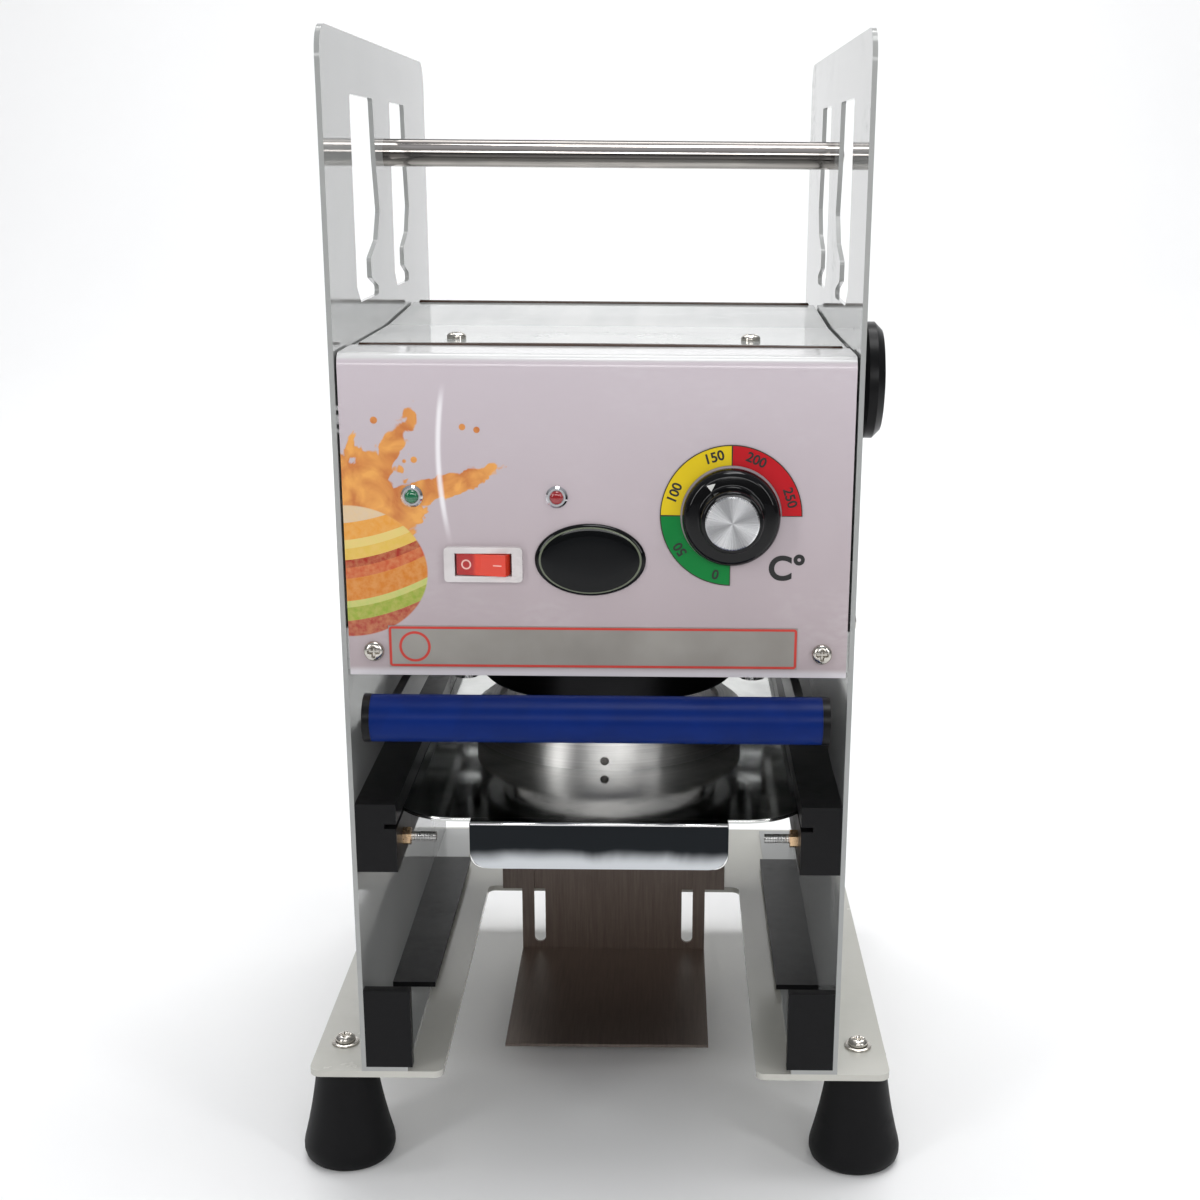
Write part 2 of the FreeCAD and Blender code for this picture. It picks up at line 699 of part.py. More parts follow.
def make_lever():
    thk = size("arm_thk")
    near = arm_offset
    bore = size("pivot_dia") + size("run_gap") * 2
    pin = size("pin_dia")
    pins = []
    for sign, name in SIDES:
        x0 = (near + thk) * -1 if sign < 0 else near
        bar = tilted_bar(x0, thk, handle_y, handle_z, pivot_y, pivot_z, size("arm_height"))
        hub = rod("x", x0, pivot_y, pivot_z, size("pivot_dia") + 14, thk)
        seat = rod("x", x0 - 1, handle_y, handle_z, size("core_dia"), thk + 2)
        pivot = rod("x", x0 - 1, pivot_y, pivot_z, bore, thk + 2)
        pin_hole = rod("x", x0 - 1, pin_y, pin_z, pin, thk + 2)
        node(f"{name}_lever_arm", cut(fuse(bar, hub), seat, pivot, pin_hole))
        reach = thk + 8.5
        pin_x = (near + thk) * -1 if sign < 0 else near + thk - reach
        pins.append(rod("x", pin_x, pin_y, pin_z, pin, reach))
    node("lever_pins", group(*pins))

    half = near + thk + size("grip_overhang")
    node("handle_core", rod("x", half * -1, handle_y, handle_z, size("core_dia"), half * 2))
    sleeve = cut(rod("x", half * -1, handle_y, handle_z, size("grip_dia"), half * 2),
                 rod("x", half * -1 - 1, handle_y, handle_z, size("core_dia"), half * 2 + 2))
    play = 0.2
    tall = size("arm_height") / 2 + 1
    slots = []
    for sign, _ in SIDES:
        x0 = (near + thk + play) * -1 if sign < 0 else near - play
        slots.append(box(x0, x0 + thk + play * 2, handle_y - 1.2, handle_y + 12,
                         handle_z - tall, handle_z + tall))
    node("handle_grip", cut(sleeve, *slots))
    caps = []
    dia = size("grip_dia") + 0.4
    for sign, _ in SIDES:
        x0 = (half + size("cap_thk")) * -1 if sign < 0 else half
        caps.append(rod("x", x0, handle_y, handle_z, dia, size("cap_thk")))
    node("handle_end_caps", group(*caps))

    shaft = rod("x", inner * -1, pivot_y, pivot_z, size("pivot_dia"), inner * 2)
    node("lever_shaft", cut(shaft, *end_taps(pivot_y, pivot_z, 12.0)))
    gap = size("slide_gap")
    rings = []
    tube = size("pivot_dia") + 6
    for sign, _ in SIDES:
        start = near + thk + gap
        long = inner - start
        x0 = inner * -1 if sign < 0 else start
        rings.append(cut(rod("x", x0, pivot_y, pivot_z, tube, long),
                         rod("x", x0 - 1, pivot_y, pivot_z, size("pivot_dia"), long + 2)))
    node("lever_spacers", group(*rings))


def end_taps(y, z, reach):
    """Threaded end holes of a cross rod, as deep as its screws reach in."""
    depth = dim(reach) - size("plate_thk")
    return [rod("x", inner * -1 - 1, y, z, screw, depth + 1),
            rod("x", inner - depth, y, z, screw, depth + 1)]


make_lever()


def make_cross_rods():
    tie = rod("x", inner * -1, tie_y, tie_z, size("tie_dia"), inner * 2)
    node("tie_rod", cut(tie, *end_taps(tie_y, tie_z, 12.0)))
    guides = []
    for y, z in guide_places:
        bar = rod("x", inner * -1, y, z, size("guide_dia"), inner * 2)
        guides.append(cut(bar, *end_taps(y, z, 10.0)))
    node("film_guides", group(*guides))
    screws = []
    for sign, _ in SIDES:
        for y, z, reach in plate_screws:
            screws.append(pan_screw("x", sign, outer * sign, y, z, dim(reach)))
    node("side_screws", group(*screws))


make_cross_rods()


# ---------------------------------------------------------------- film feed
def make_feed():
    shaft = size("feed_shaft_dia")
    knob_x = outer + size("knob_gap")
    long = outer + knob_x + size("knob_thk") - 4
    node("feed_shaft", rod("x", outer * -1, feed_y, feed_z, shaft, long))
    half = inner - 3
    roller = cut(rod("x", half * -1, feed_y, feed_z, size("feed_roller_dia"), half * 2),
                 rod("x", half * -1 - 1, feed_y, feed_z, shaft, half * 2 + 2))
    node("feed_roller", roller)
    thk = size("knob_thk")
    radius = size("knob_dia") / 2
    outline = [(shaft / 2, 0.0), (radius - 3, 0.0), (radius, 2.0), (radius, thk - 4.0),
               (radius - 3, thk - 1.0), (radius * 0.55, thk), (0.0, thk), (0.0, thk - 4.0),
               (shaft / 2, thk - 4.0)]
    node("feed_knob", turned(outline, knob_x, feed_y, feed_z, TURNS["x"]))
    bore = shaft / 2 + size("run_gap")
    body = bush_outer / 2
    wall = size("plate_thk")
    ring = [(bore, -1.6), (body + 2.5, -1.6), (body + 2.5, 0.0), (body, 0.0), (body, wall + 1),
            (bore, wall + 1)]
    left = turned(ring, inner * -1, feed_y, feed_z, Rotation(Vector(0, 0, 1), Vector(-1, 0, 0)))
    right = turned(ring, inner, feed_y, feed_z, Rotation(Vector(0, 0, 1), Vector(1, 0, 0)))
    node("feed_bushes", group(left, right))


make_feed()


# ---------------------------------------------------------------- casing
half_panel = inner - size("panel_gap")
panel_back = front + size("panel_thk")
dial_z = up(size("dial_height"))
lamp_z = up(size("lamp_height"))
switch_z = up(size("switch_height"))
dial_hole = dim(9.0)
lamp_hole = size("lamp_dia") - 2
rocker_wide = size("rocker_width")
switch_body_wide = rocker_wide + 3
switch_body_tall = size("rocker_tall") + 3
panel_screw_x = dim(90.0)
panel_screw_z = up(size("panel_low") + 10.0)
cover_z = up(size("panel_high")) - 1
cover_screw_x = dim(62.0)
cover_screw_y = back(72.0)
inlet_x = size("inlet_x")
inlet_z = up(size("inlet_height"))


def make_panel():
    thk = size("panel_thk")
    low = up(size("panel_low"))
    high = up(size("panel_high"))
    deep = front + size("panel_flange")
    corners = [(front, low), (panel_back, low), (panel_back, high - thk), (deep, high - thk),
               (deep, high), (front, high)]
    skin = padded("yz", corners, half_panel * 2, x=half_panel * -1)
    bend = size("panel_bend")
    outer_edge = rounded(skin, "x", bend,
                         lambda p: p.z > (high - 0.1).number and p.y < (front + 0.1).number)
    panel = rounded(outer_edge, "x", bend - thk,
                    lambda p: abs(p.z - (high - thk).number) < 0.05
                    and abs(p.y - panel_back.number) < 0.05)
    cuts = [rod("y", size("dial_x"), front - 1, dial_z, dial_hole, thk + 2),
            rod("y", size("green_x"), front - 1, lamp_z, lamp_hole, thk + 2),
            rod("y", size("red_x"), front - 1, lamp_z, lamp_hole, thk + 2),
            box(size("switch_x") - switch_body_wide / 2, size("switch_x") + switch_body_wide / 2,
                front - 1, panel_back + 1, switch_z - switch_body_tall / 2,
                switch_z + switch_body_tall / 2)]
    cuts += [rod("y", panel_screw_x * sign, front - 1, panel_screw_z, screw, thk + 2)
             for sign, _ in SIDES]
    node("front_panel", cut(panel, *cuts))


make_panel()


def make_brackets():
    """Two angles on the side plates that the front panel and the top cover screw to."""
    thk = dim(2.0)
    wide = dim(16.0)
    low = up(size("panel_low")) + 2
    pieces = []
    for sign, _ in SIDES:
        x0 = inner * -1 if sign < 0 else inner - wide
        web_x = inner * -1 if sign < 0 else inner - thk
        face = box(x0, x0 + wide, panel_back, panel_back + thk, low, low + 17)
        web = box(web_x, web_x + thk, panel_back, panel_back + 14, low, low + 17)
        tap = rod("y", panel_screw_x * sign, panel_back - 1, panel_screw_z, screw, thk + 2)
        pieces.append(cut(fuse(face, web), tap))
    rail_z = cover_z - size("panel_thk")
    for sign, _ in SIDES:
        deep = dim(46.0)
        x0 = inner * -1 if sign < 0 else inner - deep
        web_x = inner * -1 if sign < 0 else inner - thk
        y0 = cover_screw_y - 8
        shelf = box(x0, x0 + deep, y0, y0 + 16, rail_z - thk, rail_z)
        web = box(web_x, web_x + thk, y0, y0 + 16, rail_z - 14, rail_z)
        tap = rod("z", cover_screw_x * sign, cover_screw_y, rail_z - thk - 1, screw, thk + 2)
        pieces.append(cut(fuse(shelf, web), tap))
    node("casing_brackets", group(*pieces))



def make_covers():
    thk = size("panel_thk")
    y0 = back(size("cover_front"))
    y1 = back(size("cover_bend"))
    y2 = back(size("cover_rear"))
    rise = size("cover_rise")
    drop = size("cover_lip")
    corners = [(y0, cover_z - thk), (y1, cover_z - thk), (y2 - thk, cover_z + rise - thk),
               (y2 - thk, cover_z + rise - drop), (y2, cover_z + rise - drop),
               (y2, cover_z + rise), (y1, cover_z), (y0, cover_z)]
    lid = padded("yz", corners, half_panel * 2, x=half_panel * -1)
    lid = rounded(lid, "x", dim(2.5), lambda p: p.y > (y2 - 0.1).number
                  and p.z > (cover_z + rise - 0.1).number)
    holes = [rod("z", cover_screw_x * sign, cover_screw_y, cover_z - thk - 1, screw, thk + 2)
             for sign, _ in SIDES]
    node("top_cover", cut(lid, *holes))

    y_in = back(size("rear_setback"))
    low = up(size("rear_low"))
    high = cover_z - 4
    wall = box(inner * -1, inner, y_in, y_in + thk, low, high)
    ledge = box(inner * -1, inner, y_in - 6, y_in + thk, high - thk, high)
    ears = []
    for sign, _ in SIDES:
        x0 = inner * -1 if sign < 0 else inner - thk
        ears.append(box(x0, x0 + thk, y_in - 6, y_in + thk, low, high))
    vents = [box(-60.0 + 14 * at, -53.0 + 14 * at, y_in - 1, y_in + thk + 1, high - 60,
                 high - 25) for at in range(9)]
    inlet = box(inlet_x - 14.0, inlet_x + 14.0, y_in - 1, y_in + thk + 1, inlet_z - 10,
                inlet_z + 10)
    node("rear_cover", cut(fuse(wall, ledge, *ears), inlet, *vents))

    flange = box(inlet_x - 25.0, inlet_x + 25.0, y_in + thk, y_in + thk + 3, inlet_z - 13,
                 inlet_z + 13)
    shell = box(inlet_x - 13.8, inlet_x + 13.8, y_in - 18, y_in + thk + 3, inlet_z - 9.8,
                inlet_z + 9.8)
    mouth = box(inlet_x - 12.0, inlet_x + 12.0, y_in - 14, y_in + thk + 4, inlet_z - 8,
                inlet_z + 8)
    blades = [box(inlet_x + off - 1.0, inlet_x + off + 1.0, y_in - 15, y_in + thk - 1,
                  inlet_z - 3, inlet_z + 3) for off in (-7.0, 0.0, 7.0)]
    node("power_inlet", fuse(cut(fuse(flange, shell), mouth), *blades))


make_covers()
make_brackets()


# ---------------------------------------------------------------- controls
def arc_band(x, y, z, inner_r, outer_r, start, sweep, thick):
    """A flat ring sector in the XZ plane, its angles counted clockwise from 6 o'clock."""
    def at(radius, angle):
        turn = math.radians(angle)
        return Vector(x - radius * math.sin(turn), y, z - radius * math.cos(turn))
    middle = start + sweep / 2
    end = start + sweep
    edges = [Part.Arc(at(outer_r, start), at(outer_r, middle), at(outer_r, end)).toShape(),
             Part.LineSegment(at(outer_r, end), at(inner_r, end)).toShape(),
             Part.Arc(at(inner_r, end), at(inner_r, middle), at(inner_r, start)).toShape(),
             Part.LineSegment(at(inner_r, start), at(outer_r, start)).toShape()]
    return Part.Face(Part.Wire(edges)).extrude(Vector(0, -thick, 0))


def make_dial():
    x = size("dial_x")
    band = new("Part::Feature")
    band.Shape = arc_band(x.number, front.number, dial_z.number, size("dial_inner").number / 2,
                          size("dial_outer").number / 2, 0.0, 270.0, size("label_thk").number)
    band.Placement = Placement()
    half = size("notice_width") / 2
    low = up(size("notice_low"))
    notice = box(half * -1 - 2, half - 2, front - size("label_thk"), front, low,
                 low + size("notice_tall"))
    node("panel_labels", group(band, notice))

    shaft = 6.0
    gap = 1.2
    deep = dim(34.0)
    case = box(x - 19, x + 19, panel_back, panel_back + deep, dial_z - 19, dial_z + 19)
    bush = fuse(case, rod("y", x, front + 0.2, dial_z, dial_hole - 0.4, size("panel_thk") + 1))
    node("thermostat_body", cut(bush, rod("y", x, front - 1, dial_z,
                                          shaft + size("run_gap").number * 2, 16.0)))
    skirt = size("skirt_dia") / 2
    top = size("knob_top_dia") / 2
    knob_y = front - gap
    thick = size("skirt_thk")
    tall = size("knob_top_height")
    outline = [(0.0, 3.0), (shaft / 2, 3.0), (shaft / 2, 0.0), (skirt, 0.0),
               (skirt, thick * 0.5), (skirt - 2, thick), (top + 1, thick), (top, tall),
               (0.0, tall)]
    facing = Rotation(Vector(1, 0, 0), 90)
    node("dial_knob", turned(outline, x, knob_y, dial_z, facing))
    cap_r = size("knob_cap_dia") / 2
    node("dial_knob_cap", turned([(0.0, 0.0), (cap_r, 0.0), (cap_r, 0.6), (cap_r - 0.5, 1.0),
                                  (0.0, 1.0)], x, knob_y - tall, dial_z, facing))
    node("thermostat_shaft", rod("y", x, knob_y - 3, dial_z, shaft, gap + 3 + 12))


def make_lamps():
    facing = Rotation(Vector(1, 0, 0), 90)
    outer_r = size("lamp_dia") / 2
    body_r = lamp_hole / 2 - 0.1
    lens_r = size("lens_dia") / 2
    bezel = [(lens_r, -12.0), (body_r, -12.0), (body_r, 0.0), (outer_r, 0.0), (outer_r, 0.8),
             (outer_r - 0.8, 1.6), (lens_r, 1.6)]
    lens = [(0.0, -3.0), (lens_r, -3.0), (lens_r, 1.9), (lens_r * 0.7, 2.7), (0.0, 3.0)]
    places = (("green", size("green_x")), ("red", size("red_x")))
    node("lamp_bezels", group(*[turned(bezel, x, front, lamp_z, facing) for _, x in places]))
    for colour, x in places:
        node(f"{colour}_lens", turned(lens, x, front, lamp_z, facing))


ROCKER_TILT = 10.5


def make_switch():
    x = size("switch_x")
    half = size("switch_width") / 2
    tall = size("switch_tall") / 2
    frame_thk = dim(2.2)
    wide = rocker_wide / 2 + 0.3
    high = size("rocker_tall") / 2 + 0.3
    rim = rounded(box(x - half, x + half, front - frame_thk, front, switch_z - tall,
                      switch_z + tall), "y", dim(1.6))
    case = box(x - switch_body_wide / 2 + 0.1, x + switch_body_wide / 2 - 0.1, front,
               front + 20, switch_z - switch_body_tall / 2 + 0.1,
               switch_z + switch_body_tall / 2 - 0.1)
    well = box(x - wide, x + wide, front - frame_thk - 1, front + 9, switch_z - high,
               switch_z + high)
    node("switch_housing", cut(fuse(rim, case), well))
    reach = rocker_wide / 2
    pivot = front + size("rocker_pivot")
    corners = [(reach * -0.91, -4.6), (0.0, -4.1), (reach * 0.91, -4.6), (reach * 0.96, 0.5),
               (4.0, 2.5), (-4.0, 2.5), (reach * -0.96, 0.5)]
    tilted = Rotation(Vector(0, 0, 1), -ROCKER_TILT)
    body = padded("xy", corners, size("rocker_tall"))
    place(body, x, pivot, switch_z - size("rocker_tall") / 2, tilted)
    node("rocker", body)


def make_badges():
    x = size("badge_x")
    z = up(size("badge_height"))
    wide = size("badge_width") / 2
    ratio = size("badge_tall") / size("badge_width")
    oval = new("Part::Ellipse")
    bind(oval, "MajorRadius", wide)
    bind(oval, "MinorRadius", wide * ratio)
    place(oval, 0.0, 0.0, 0.0)
    slab = new("Part::Extrusion")
    slab.Base = oval
    slab.DirMode = "Custom"
    slab.Dir = Vector(0, 0, 1)
    slab.Solid = True
    bind(slab, "LengthFwd", size("badge_thk"))
    place(slab, x, front, z, Rotation(Vector(1, 0, 0), 90))
    node("oval_badge", slab)


def make_panel_screws():
    screws = [pan_screw("y", -1, panel_screw_x * sign, front, panel_screw_z, dim(9.0))
              for sign, _ in SIDES]
    screws += [pan_screw("z", 1, cover_screw_x * sign, cover_screw_y, cover_z, dim(9.0))
               for sign, _ in SIDES]
    node("casing_screws", group(*screws))


make_dial()
make_lamps()
make_switch()
make_badges()
make_panel_screws()


# ---------------------------------------------------------------- cup shelf
def make_shelf():
    half = size("shelf_width") / 2
    thk = size("shelf_thk")
    top = up(size("shelf_drop") * -1)
    y1 = back(size("shelf_setback"))
    y0 = y1 - size("shelf_depth")
    upper = up(size("shelf_top"))
    shelf = box(half * -1, half, y0, y1, top - thk, top)
    wall = box(half * -1, half, y1 - thk, y1, top - thk, upper)
    slot_x = size("slot_span") / 2
    wide = size("slot_width")
    slots = []
    for sign, _ in SIDES:
        x = slot_x * sign
        middle = box(x - wide / 2, x + wide / 2, y1 - thk - 1, y1 + 1, top + 3.5 + wide / 2,
                     upper - 5 - wide / 2)
        ends = [rod("y", x, y1 - thk - 1, z, wide, thk + 2)
                for z in (top + 3.5 + wide / 2, upper - 5 - wide / 2)]
        slots.append(fuse(middle, *ends))
    bend = rounded(fuse(shelf, wall), "x", dim(2.0),
                   lambda p: p.z < (top - thk + 0.1).number and p.y > (y1 - 0.1).number)
    node("cup_shelf", cut(bend, *slots))

    gap = size("slide_gap")
    back_y = y1 + gap
    leaf = size("support_thk")
    support_half = size("support_width") / 2
    upright = box(support_half * -1, support_half, back_y, back_y + leaf, deck,
                  up(size("clamp_height")) + 14)
    foot = box(support_half * -1, support_half, back_y, back_y + 34, deck, deck + leaf)
    clamp_z = up(size("clamp_height"))
    taps = [rod("y", slot_x * sign, back_y - 1, clamp_z, 5.0, leaf + 2) for sign, _ in SIDES]
    node("shelf_support", cut(fuse(upright, foot), *taps))
    knobs = []
    for sign, _ in SIDES:
        x = slot_x * sign
        shank = rod("y", x, y1 - thk - gap, clamp_z, 5.0, thk + gap + gap + leaf + 3)
        head = rod("y", x, y1 - thk - gap - 9, clamp_z, 16.0, 9.0)
        knobs.append(fuse(shank, head))
    node("shelf_clamp_screws", group(*knobs))


make_shelf()


# ---------------------------------------------------------------- check and write
def check_and_write():
    doc.recompute()
    for thing in doc.Objects:
        if "Invalid" in thing.State or "Error" in thing.State:
            raise RuntimeError(f"{thing.Name} ({thing.TypeId}) failed: {thing.State}")
    labels = [piece.Label for piece in NODES]
    if len(set(labels)) != len(labels):
        raise RuntimeError("two sub-parts share a label")
    for piece in NODES:
        if piece.Shape.isNull() or not piece.Shape.isValid() or not piece.Shape.Solids:
            raise RuntimeError(f"{piece.Label} has no valid solid")
        piece.Shape.exportStep(f"parts/{piece.Label}.step")
    print(len(NODES), "sub-parts,", sum(len(p.Shape.Solids) for p in NODES), "solids")


check_and_write()
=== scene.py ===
"""Looks of the cup sealing machine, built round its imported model."""
import math

import bpy
import numpy as np
from mathutils import Matrix, Vector


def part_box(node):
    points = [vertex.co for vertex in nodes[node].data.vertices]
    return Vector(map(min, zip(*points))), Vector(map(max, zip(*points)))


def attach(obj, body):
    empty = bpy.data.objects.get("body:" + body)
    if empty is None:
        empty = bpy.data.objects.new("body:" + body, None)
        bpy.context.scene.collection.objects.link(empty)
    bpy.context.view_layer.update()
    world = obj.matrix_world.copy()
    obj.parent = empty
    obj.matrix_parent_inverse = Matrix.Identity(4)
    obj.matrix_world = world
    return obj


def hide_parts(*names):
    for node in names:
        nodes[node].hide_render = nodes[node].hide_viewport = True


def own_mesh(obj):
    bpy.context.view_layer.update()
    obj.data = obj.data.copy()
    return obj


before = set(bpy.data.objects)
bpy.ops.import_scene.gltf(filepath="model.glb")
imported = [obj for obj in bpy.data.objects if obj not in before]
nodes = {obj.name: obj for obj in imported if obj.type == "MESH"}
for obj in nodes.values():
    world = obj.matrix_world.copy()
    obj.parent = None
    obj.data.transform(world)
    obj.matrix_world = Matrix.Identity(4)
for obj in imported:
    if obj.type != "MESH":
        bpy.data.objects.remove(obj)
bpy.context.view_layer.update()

MM = 0.001

# Places on the machine, in mm: x runs to the right, y to the rear and z up.
PANEL_FACE = -135.0
LABEL_THK = 0.5
INK_LIFT = 0.03
DIAL = (52.5, 300.0)
BADGE = (-2.9, 282.0)
BADGE_HALF = (22.0, 14.5)
LAMP_X = {"green": -72.7, "red": -16.0}
LAMP_Z = 307.0
FOOT_X = 114.6
FOOT_Y = {"front": -109.0, "rear": 132.2}
DECK_TOP = 55.0
COVER_TOP = 361.0
POST_X = 69.0
# Sides of a turned screw head whose driver's cross has to be crisp.
SCREW_SIDES = 96


def metres(sizes):
    """Sizes in mm as metres, the unit that the shaders read."""
    return tuple(size * MM for size in sizes)


# ---------------------------------------------------------------- node helpers
class Bench:
    """Puts shader nodes in one tree; each call gives back the socket that holds its result."""

    def __init__(self, tree):
        self.tree = tree

    def add(self, kind, **settings):
        """A new node with its settings."""
        node = self.tree.nodes.new(kind)
        for word, value in settings.items():
            setattr(node, word, value)
        return node

    def join(self, value, socket):
        """Link a socket to an input, or set the input to a plain value."""
        if isinstance(value, bpy.types.NodeSocket):
            self.tree.links.new(value, socket)
        else:
            socket.default_value = value

    def math(self, operation, a, b=0.0):
        """One sum on two values."""
        node = self.add("ShaderNodeMath", operation=operation)
        for socket, value in zip(node.inputs, (a, b)):
            self.join(value, socket)
        return node.outputs[0]

    def span(self, value, low, high, out_low=0.0, out_high=1.0, smooth=False):
        """value from low..high carried to out_low..out_high, held at both ends."""
        node = self.add("ShaderNodeMapRange", clamp=True)
        if smooth:
            node.interpolation_type = "SMOOTHSTEP"
        for socket, number in zip(node.inputs, (value, low, high, out_low, out_high)):
            self.join(number, socket)
        return node.outputs[0]

    def mix(self, share, first, second):
        """The first colour where share is 0, the second where it is 1."""
        node = self.add("ShaderNodeMix", data_type="RGBA")
        self.join(share, node.inputs[0])
        for value, socket in ((first, node.inputs[6]), (second, node.inputs[7])):
            self.join((*value, 1.0) if isinstance(value, tuple) else value, socket)
        return node.outputs[2]

    def spot(self):
        """Object coordinates, in metres and the machine's own frame."""
        return self.add("ShaderNodeTexCoord").outputs["Object"]

    def stretch(self, where, factors, turn=(0, 0, 0)):
        """Coordinates multiplied along each axis, then turned by radians."""
        node = self.add("ShaderNodeMapping")
        self.join(where, node.inputs["Vector"])
        node.inputs["Rotation"].default_value = turn
        node.inputs["Scale"].default_value = factors
        return node.outputs[0]

    def axes(self, where):
        """The x, y and z of a vector."""
        node = self.add("ShaderNodeSeparateXYZ")
        self.join(where, node.inputs[0])
        return node.outputs

    def noise(self, where, scale, detail=3.0, rough=0.55, twist=0.0):
        """A cloudy pattern from about 0 to 1; scale is in patches per metre."""
        node = self.add("ShaderNodeTexNoise")
        self.join(where, node.inputs["Vector"])
        for word, value in (("Scale", scale), ("Detail", detail), ("Roughness", rough),
                            ("Distortion", twist)):
            self.join(value, node.inputs[word])
        return node.outputs["Fac"]

    def bump(self, height, strength, depth):
        """A normal from a height pattern that is depth metres deep."""
        node = self.add("ShaderNodeBump")
        self.join(height, node.inputs["Height"])
        self.join(strength, node.inputs["Strength"])
        self.join(depth, node.inputs["Distance"])
        return node.outputs[0]

    def inside(self, x, z, centre, radii, turn=0.0):
        """How far a point is inside a turned ellipse: 1 at its centre, 0 on its rim."""
        dx = self.math("SUBTRACT", x, centre[0])
        dz = self.math("SUBTRACT", z, centre[1])
        c, s = math.cos(turn), math.sin(turn)
        u = self.math("ADD", self.math("MULTIPLY", dx, c / radii[0]),
                      self.math("MULTIPLY", dz, s / radii[0]))
        v = self.math("ADD", self.math("MULTIPLY", dx, -s / radii[1]),
                      self.math("MULTIPLY", dz, c / radii[1]))
        far = self.math("SQRT", self.math("ADD", self.math("MULTIPLY", u, u),
                                          self.math("MULTIPLY", v, v)))
        return self.math("SUBTRACT", 1.0, far)

    def in_box(self, x, z, centre, half, round_off=0.0):
        """Distance inside a rounded rectangle, in metres: positive inside."""
        dx = self.math("SUBTRACT", self.math("ABSOLUTE", self.math("SUBTRACT", x, centre[0])),
                       half[0] - round_off)
        dz = self.math("SUBTRACT", self.math("ABSOLUTE", self.math("SUBTRACT", z, centre[1])),
                       half[1] - round_off)
        px, pz = self.math("MAXIMUM", dx, 0.0), self.math("MAXIMUM", dz, 0.0)
        corner = self.math("SQRT", self.math("ADD", self.math("MULTIPLY", px, px),
                                             self.math("MULTIPLY", pz, pz)))
        deep = self.math("MINIMUM", self.math("MAXIMUM", dx, dz), 0.0)
        return self.math("SUBTRACT", round_off, self.math("ADD", corner, deep))

    def step(self, value, edge=0.0, soft=0.0002):
        """0 below the edge and 1 above it, with a soft change between."""
        return self.span(value, edge - soft, edge + soft, smooth=True)

    def bands(self, value, stops, change="CONSTANT"):
        """Colour bands, hard or blended: stops are (position from 0 to 1, colour)."""
        node = self.add("ShaderNodeValToRGB")
        node.color_ramp.interpolation = change
        ramp = node.color_ramp.elements
        while len(ramp) < len(stops):
            ramp.new(0.5)
        for part, (place, colour) in zip(ramp, stops):
            part.position = place
            part.color = (*colour, 1.0)
        self.join(value, node.inputs[0])
        return node.outputs[0]

    def use(self, group, **values):
        """A shader group placed with its own values; gives back its outputs."""
        node = self.add("ShaderNodeGroup", node_tree=group)
        for word, value in values.items():
            self.join(value, node.inputs[word.replace("_", " ").capitalize()])
        return node.outputs


def effect(name, inputs, outputs):
    """An empty shader group with float inputs (name, value) and outputs (name, kind)."""
    tree = bpy.data.node_groups.new(name, "ShaderNodeTree")
    for word, value in inputs:
        socket = tree.interface.new_socket(word, in_out="INPUT", socket_type="NodeSocketFloat")
        socket.default_value = value
    for word, kind in outputs:
        tree.interface.new_socket(word, in_out="OUTPUT", socket_type=f"NodeSocket{kind}")
    bench = Bench(tree)
    return tree, bench, bench.add("NodeGroupInput").outputs, bench.add("NodeGroupOutput").inputs


def make_handling():
    """Finger smears and faint rubbing: a soft large pattern broken by a fine one."""
    tree, b, given, out = effect("handling marks", [("Size", 30.0), ("Amount", 1.0)],
                                 [("Mask", "Float"), ("Fine", "Float")])
    where = b.spot()
    wide = b.noise(where, given["Size"], 4.0, 0.6, 0.6)
    fine = b.noise(b.stretch(where, (1, 1, 2.5)), b.math("MULTIPLY", given["Size"], 9.0), 3.0)
    smear = b.span(wide, 0.45, 0.75, smooth=True)
    b.join(b.math("MULTIPLY", b.math("MULTIPLY", smear, b.span(fine, 0.3, 0.7)),
                  given["Amount"]), out["Mask"])
    b.join(fine, out["Fine"])
    return tree


def make_dust():
    """Grey dust that settles on faces that look up, thicker in patches."""
    tree, b, given, out = effect("settled dust", [("Size", 60.0), ("Amount", 0.3)],
                                 [("Mask", "Float")])
    up = b.axes(b.add("ShaderNodeNewGeometry").outputs["Normal"])[2]
    patch = b.noise(b.spot(), given["Size"], 5.0, 0.7)
    mask = b.math("MULTIPLY", b.span(up, 0.3, 1.0, smooth=True), b.span(patch, 0.35, 0.8))
    b.join(b.math("MULTIPLY", mask, given["Amount"]), out["Mask"])
    return tree


def make_brushing():
    """Parallel hair lines: noise drawn out many times along one axis."""
    tree, b, given, out = effect(
        "brushed lines", [("Along x", 1.0), ("Along y", 1.0), ("Along z", 1.0)],
        [("Lines", "Float")])
    x, y, z = b.axes(b.spot())
    parts = b.add("ShaderNodeCombineXYZ")
    for at, (axis, word) in enumerate(zip((x, y, z), ("Along x", "Along y", "Along z"))):
        b.join(b.math("MULTIPLY", axis, given[word]), parts.inputs[at])
    b.join(b.noise(parts.outputs[0], 1.0, 4.0, 0.7), out["Lines"])
    return tree


def make_turning():
    """Lathe marks: fine rings round a vertical axis, from the distance to that axis."""
    tree, b, given, out = effect("lathe rings", [("Pitch", 2600.0)], [("Rings", "Float")])
    x, y, z = b.axes(b.spot())
    far = b.math("SQRT", b.math("ADD", b.math("MULTIPLY", x, x), b.math("MULTIPLY", y, y)))
    spot = b.add("ShaderNodeCombineXYZ")
    b.join(b.math("MULTIPLY", far, given["Pitch"]), spot.inputs[0])
    b.join(b.math("MULTIPLY", z, given["Pitch"]), spot.inputs[1])
    b.join(b.noise(spot.outputs[0], 1.0, 2.0, 0.6), out["Rings"])
    return tree


HANDLING = make_handling()
DUST = make_dust()
BRUSHING = make_brushing()
TURNING = make_turning()


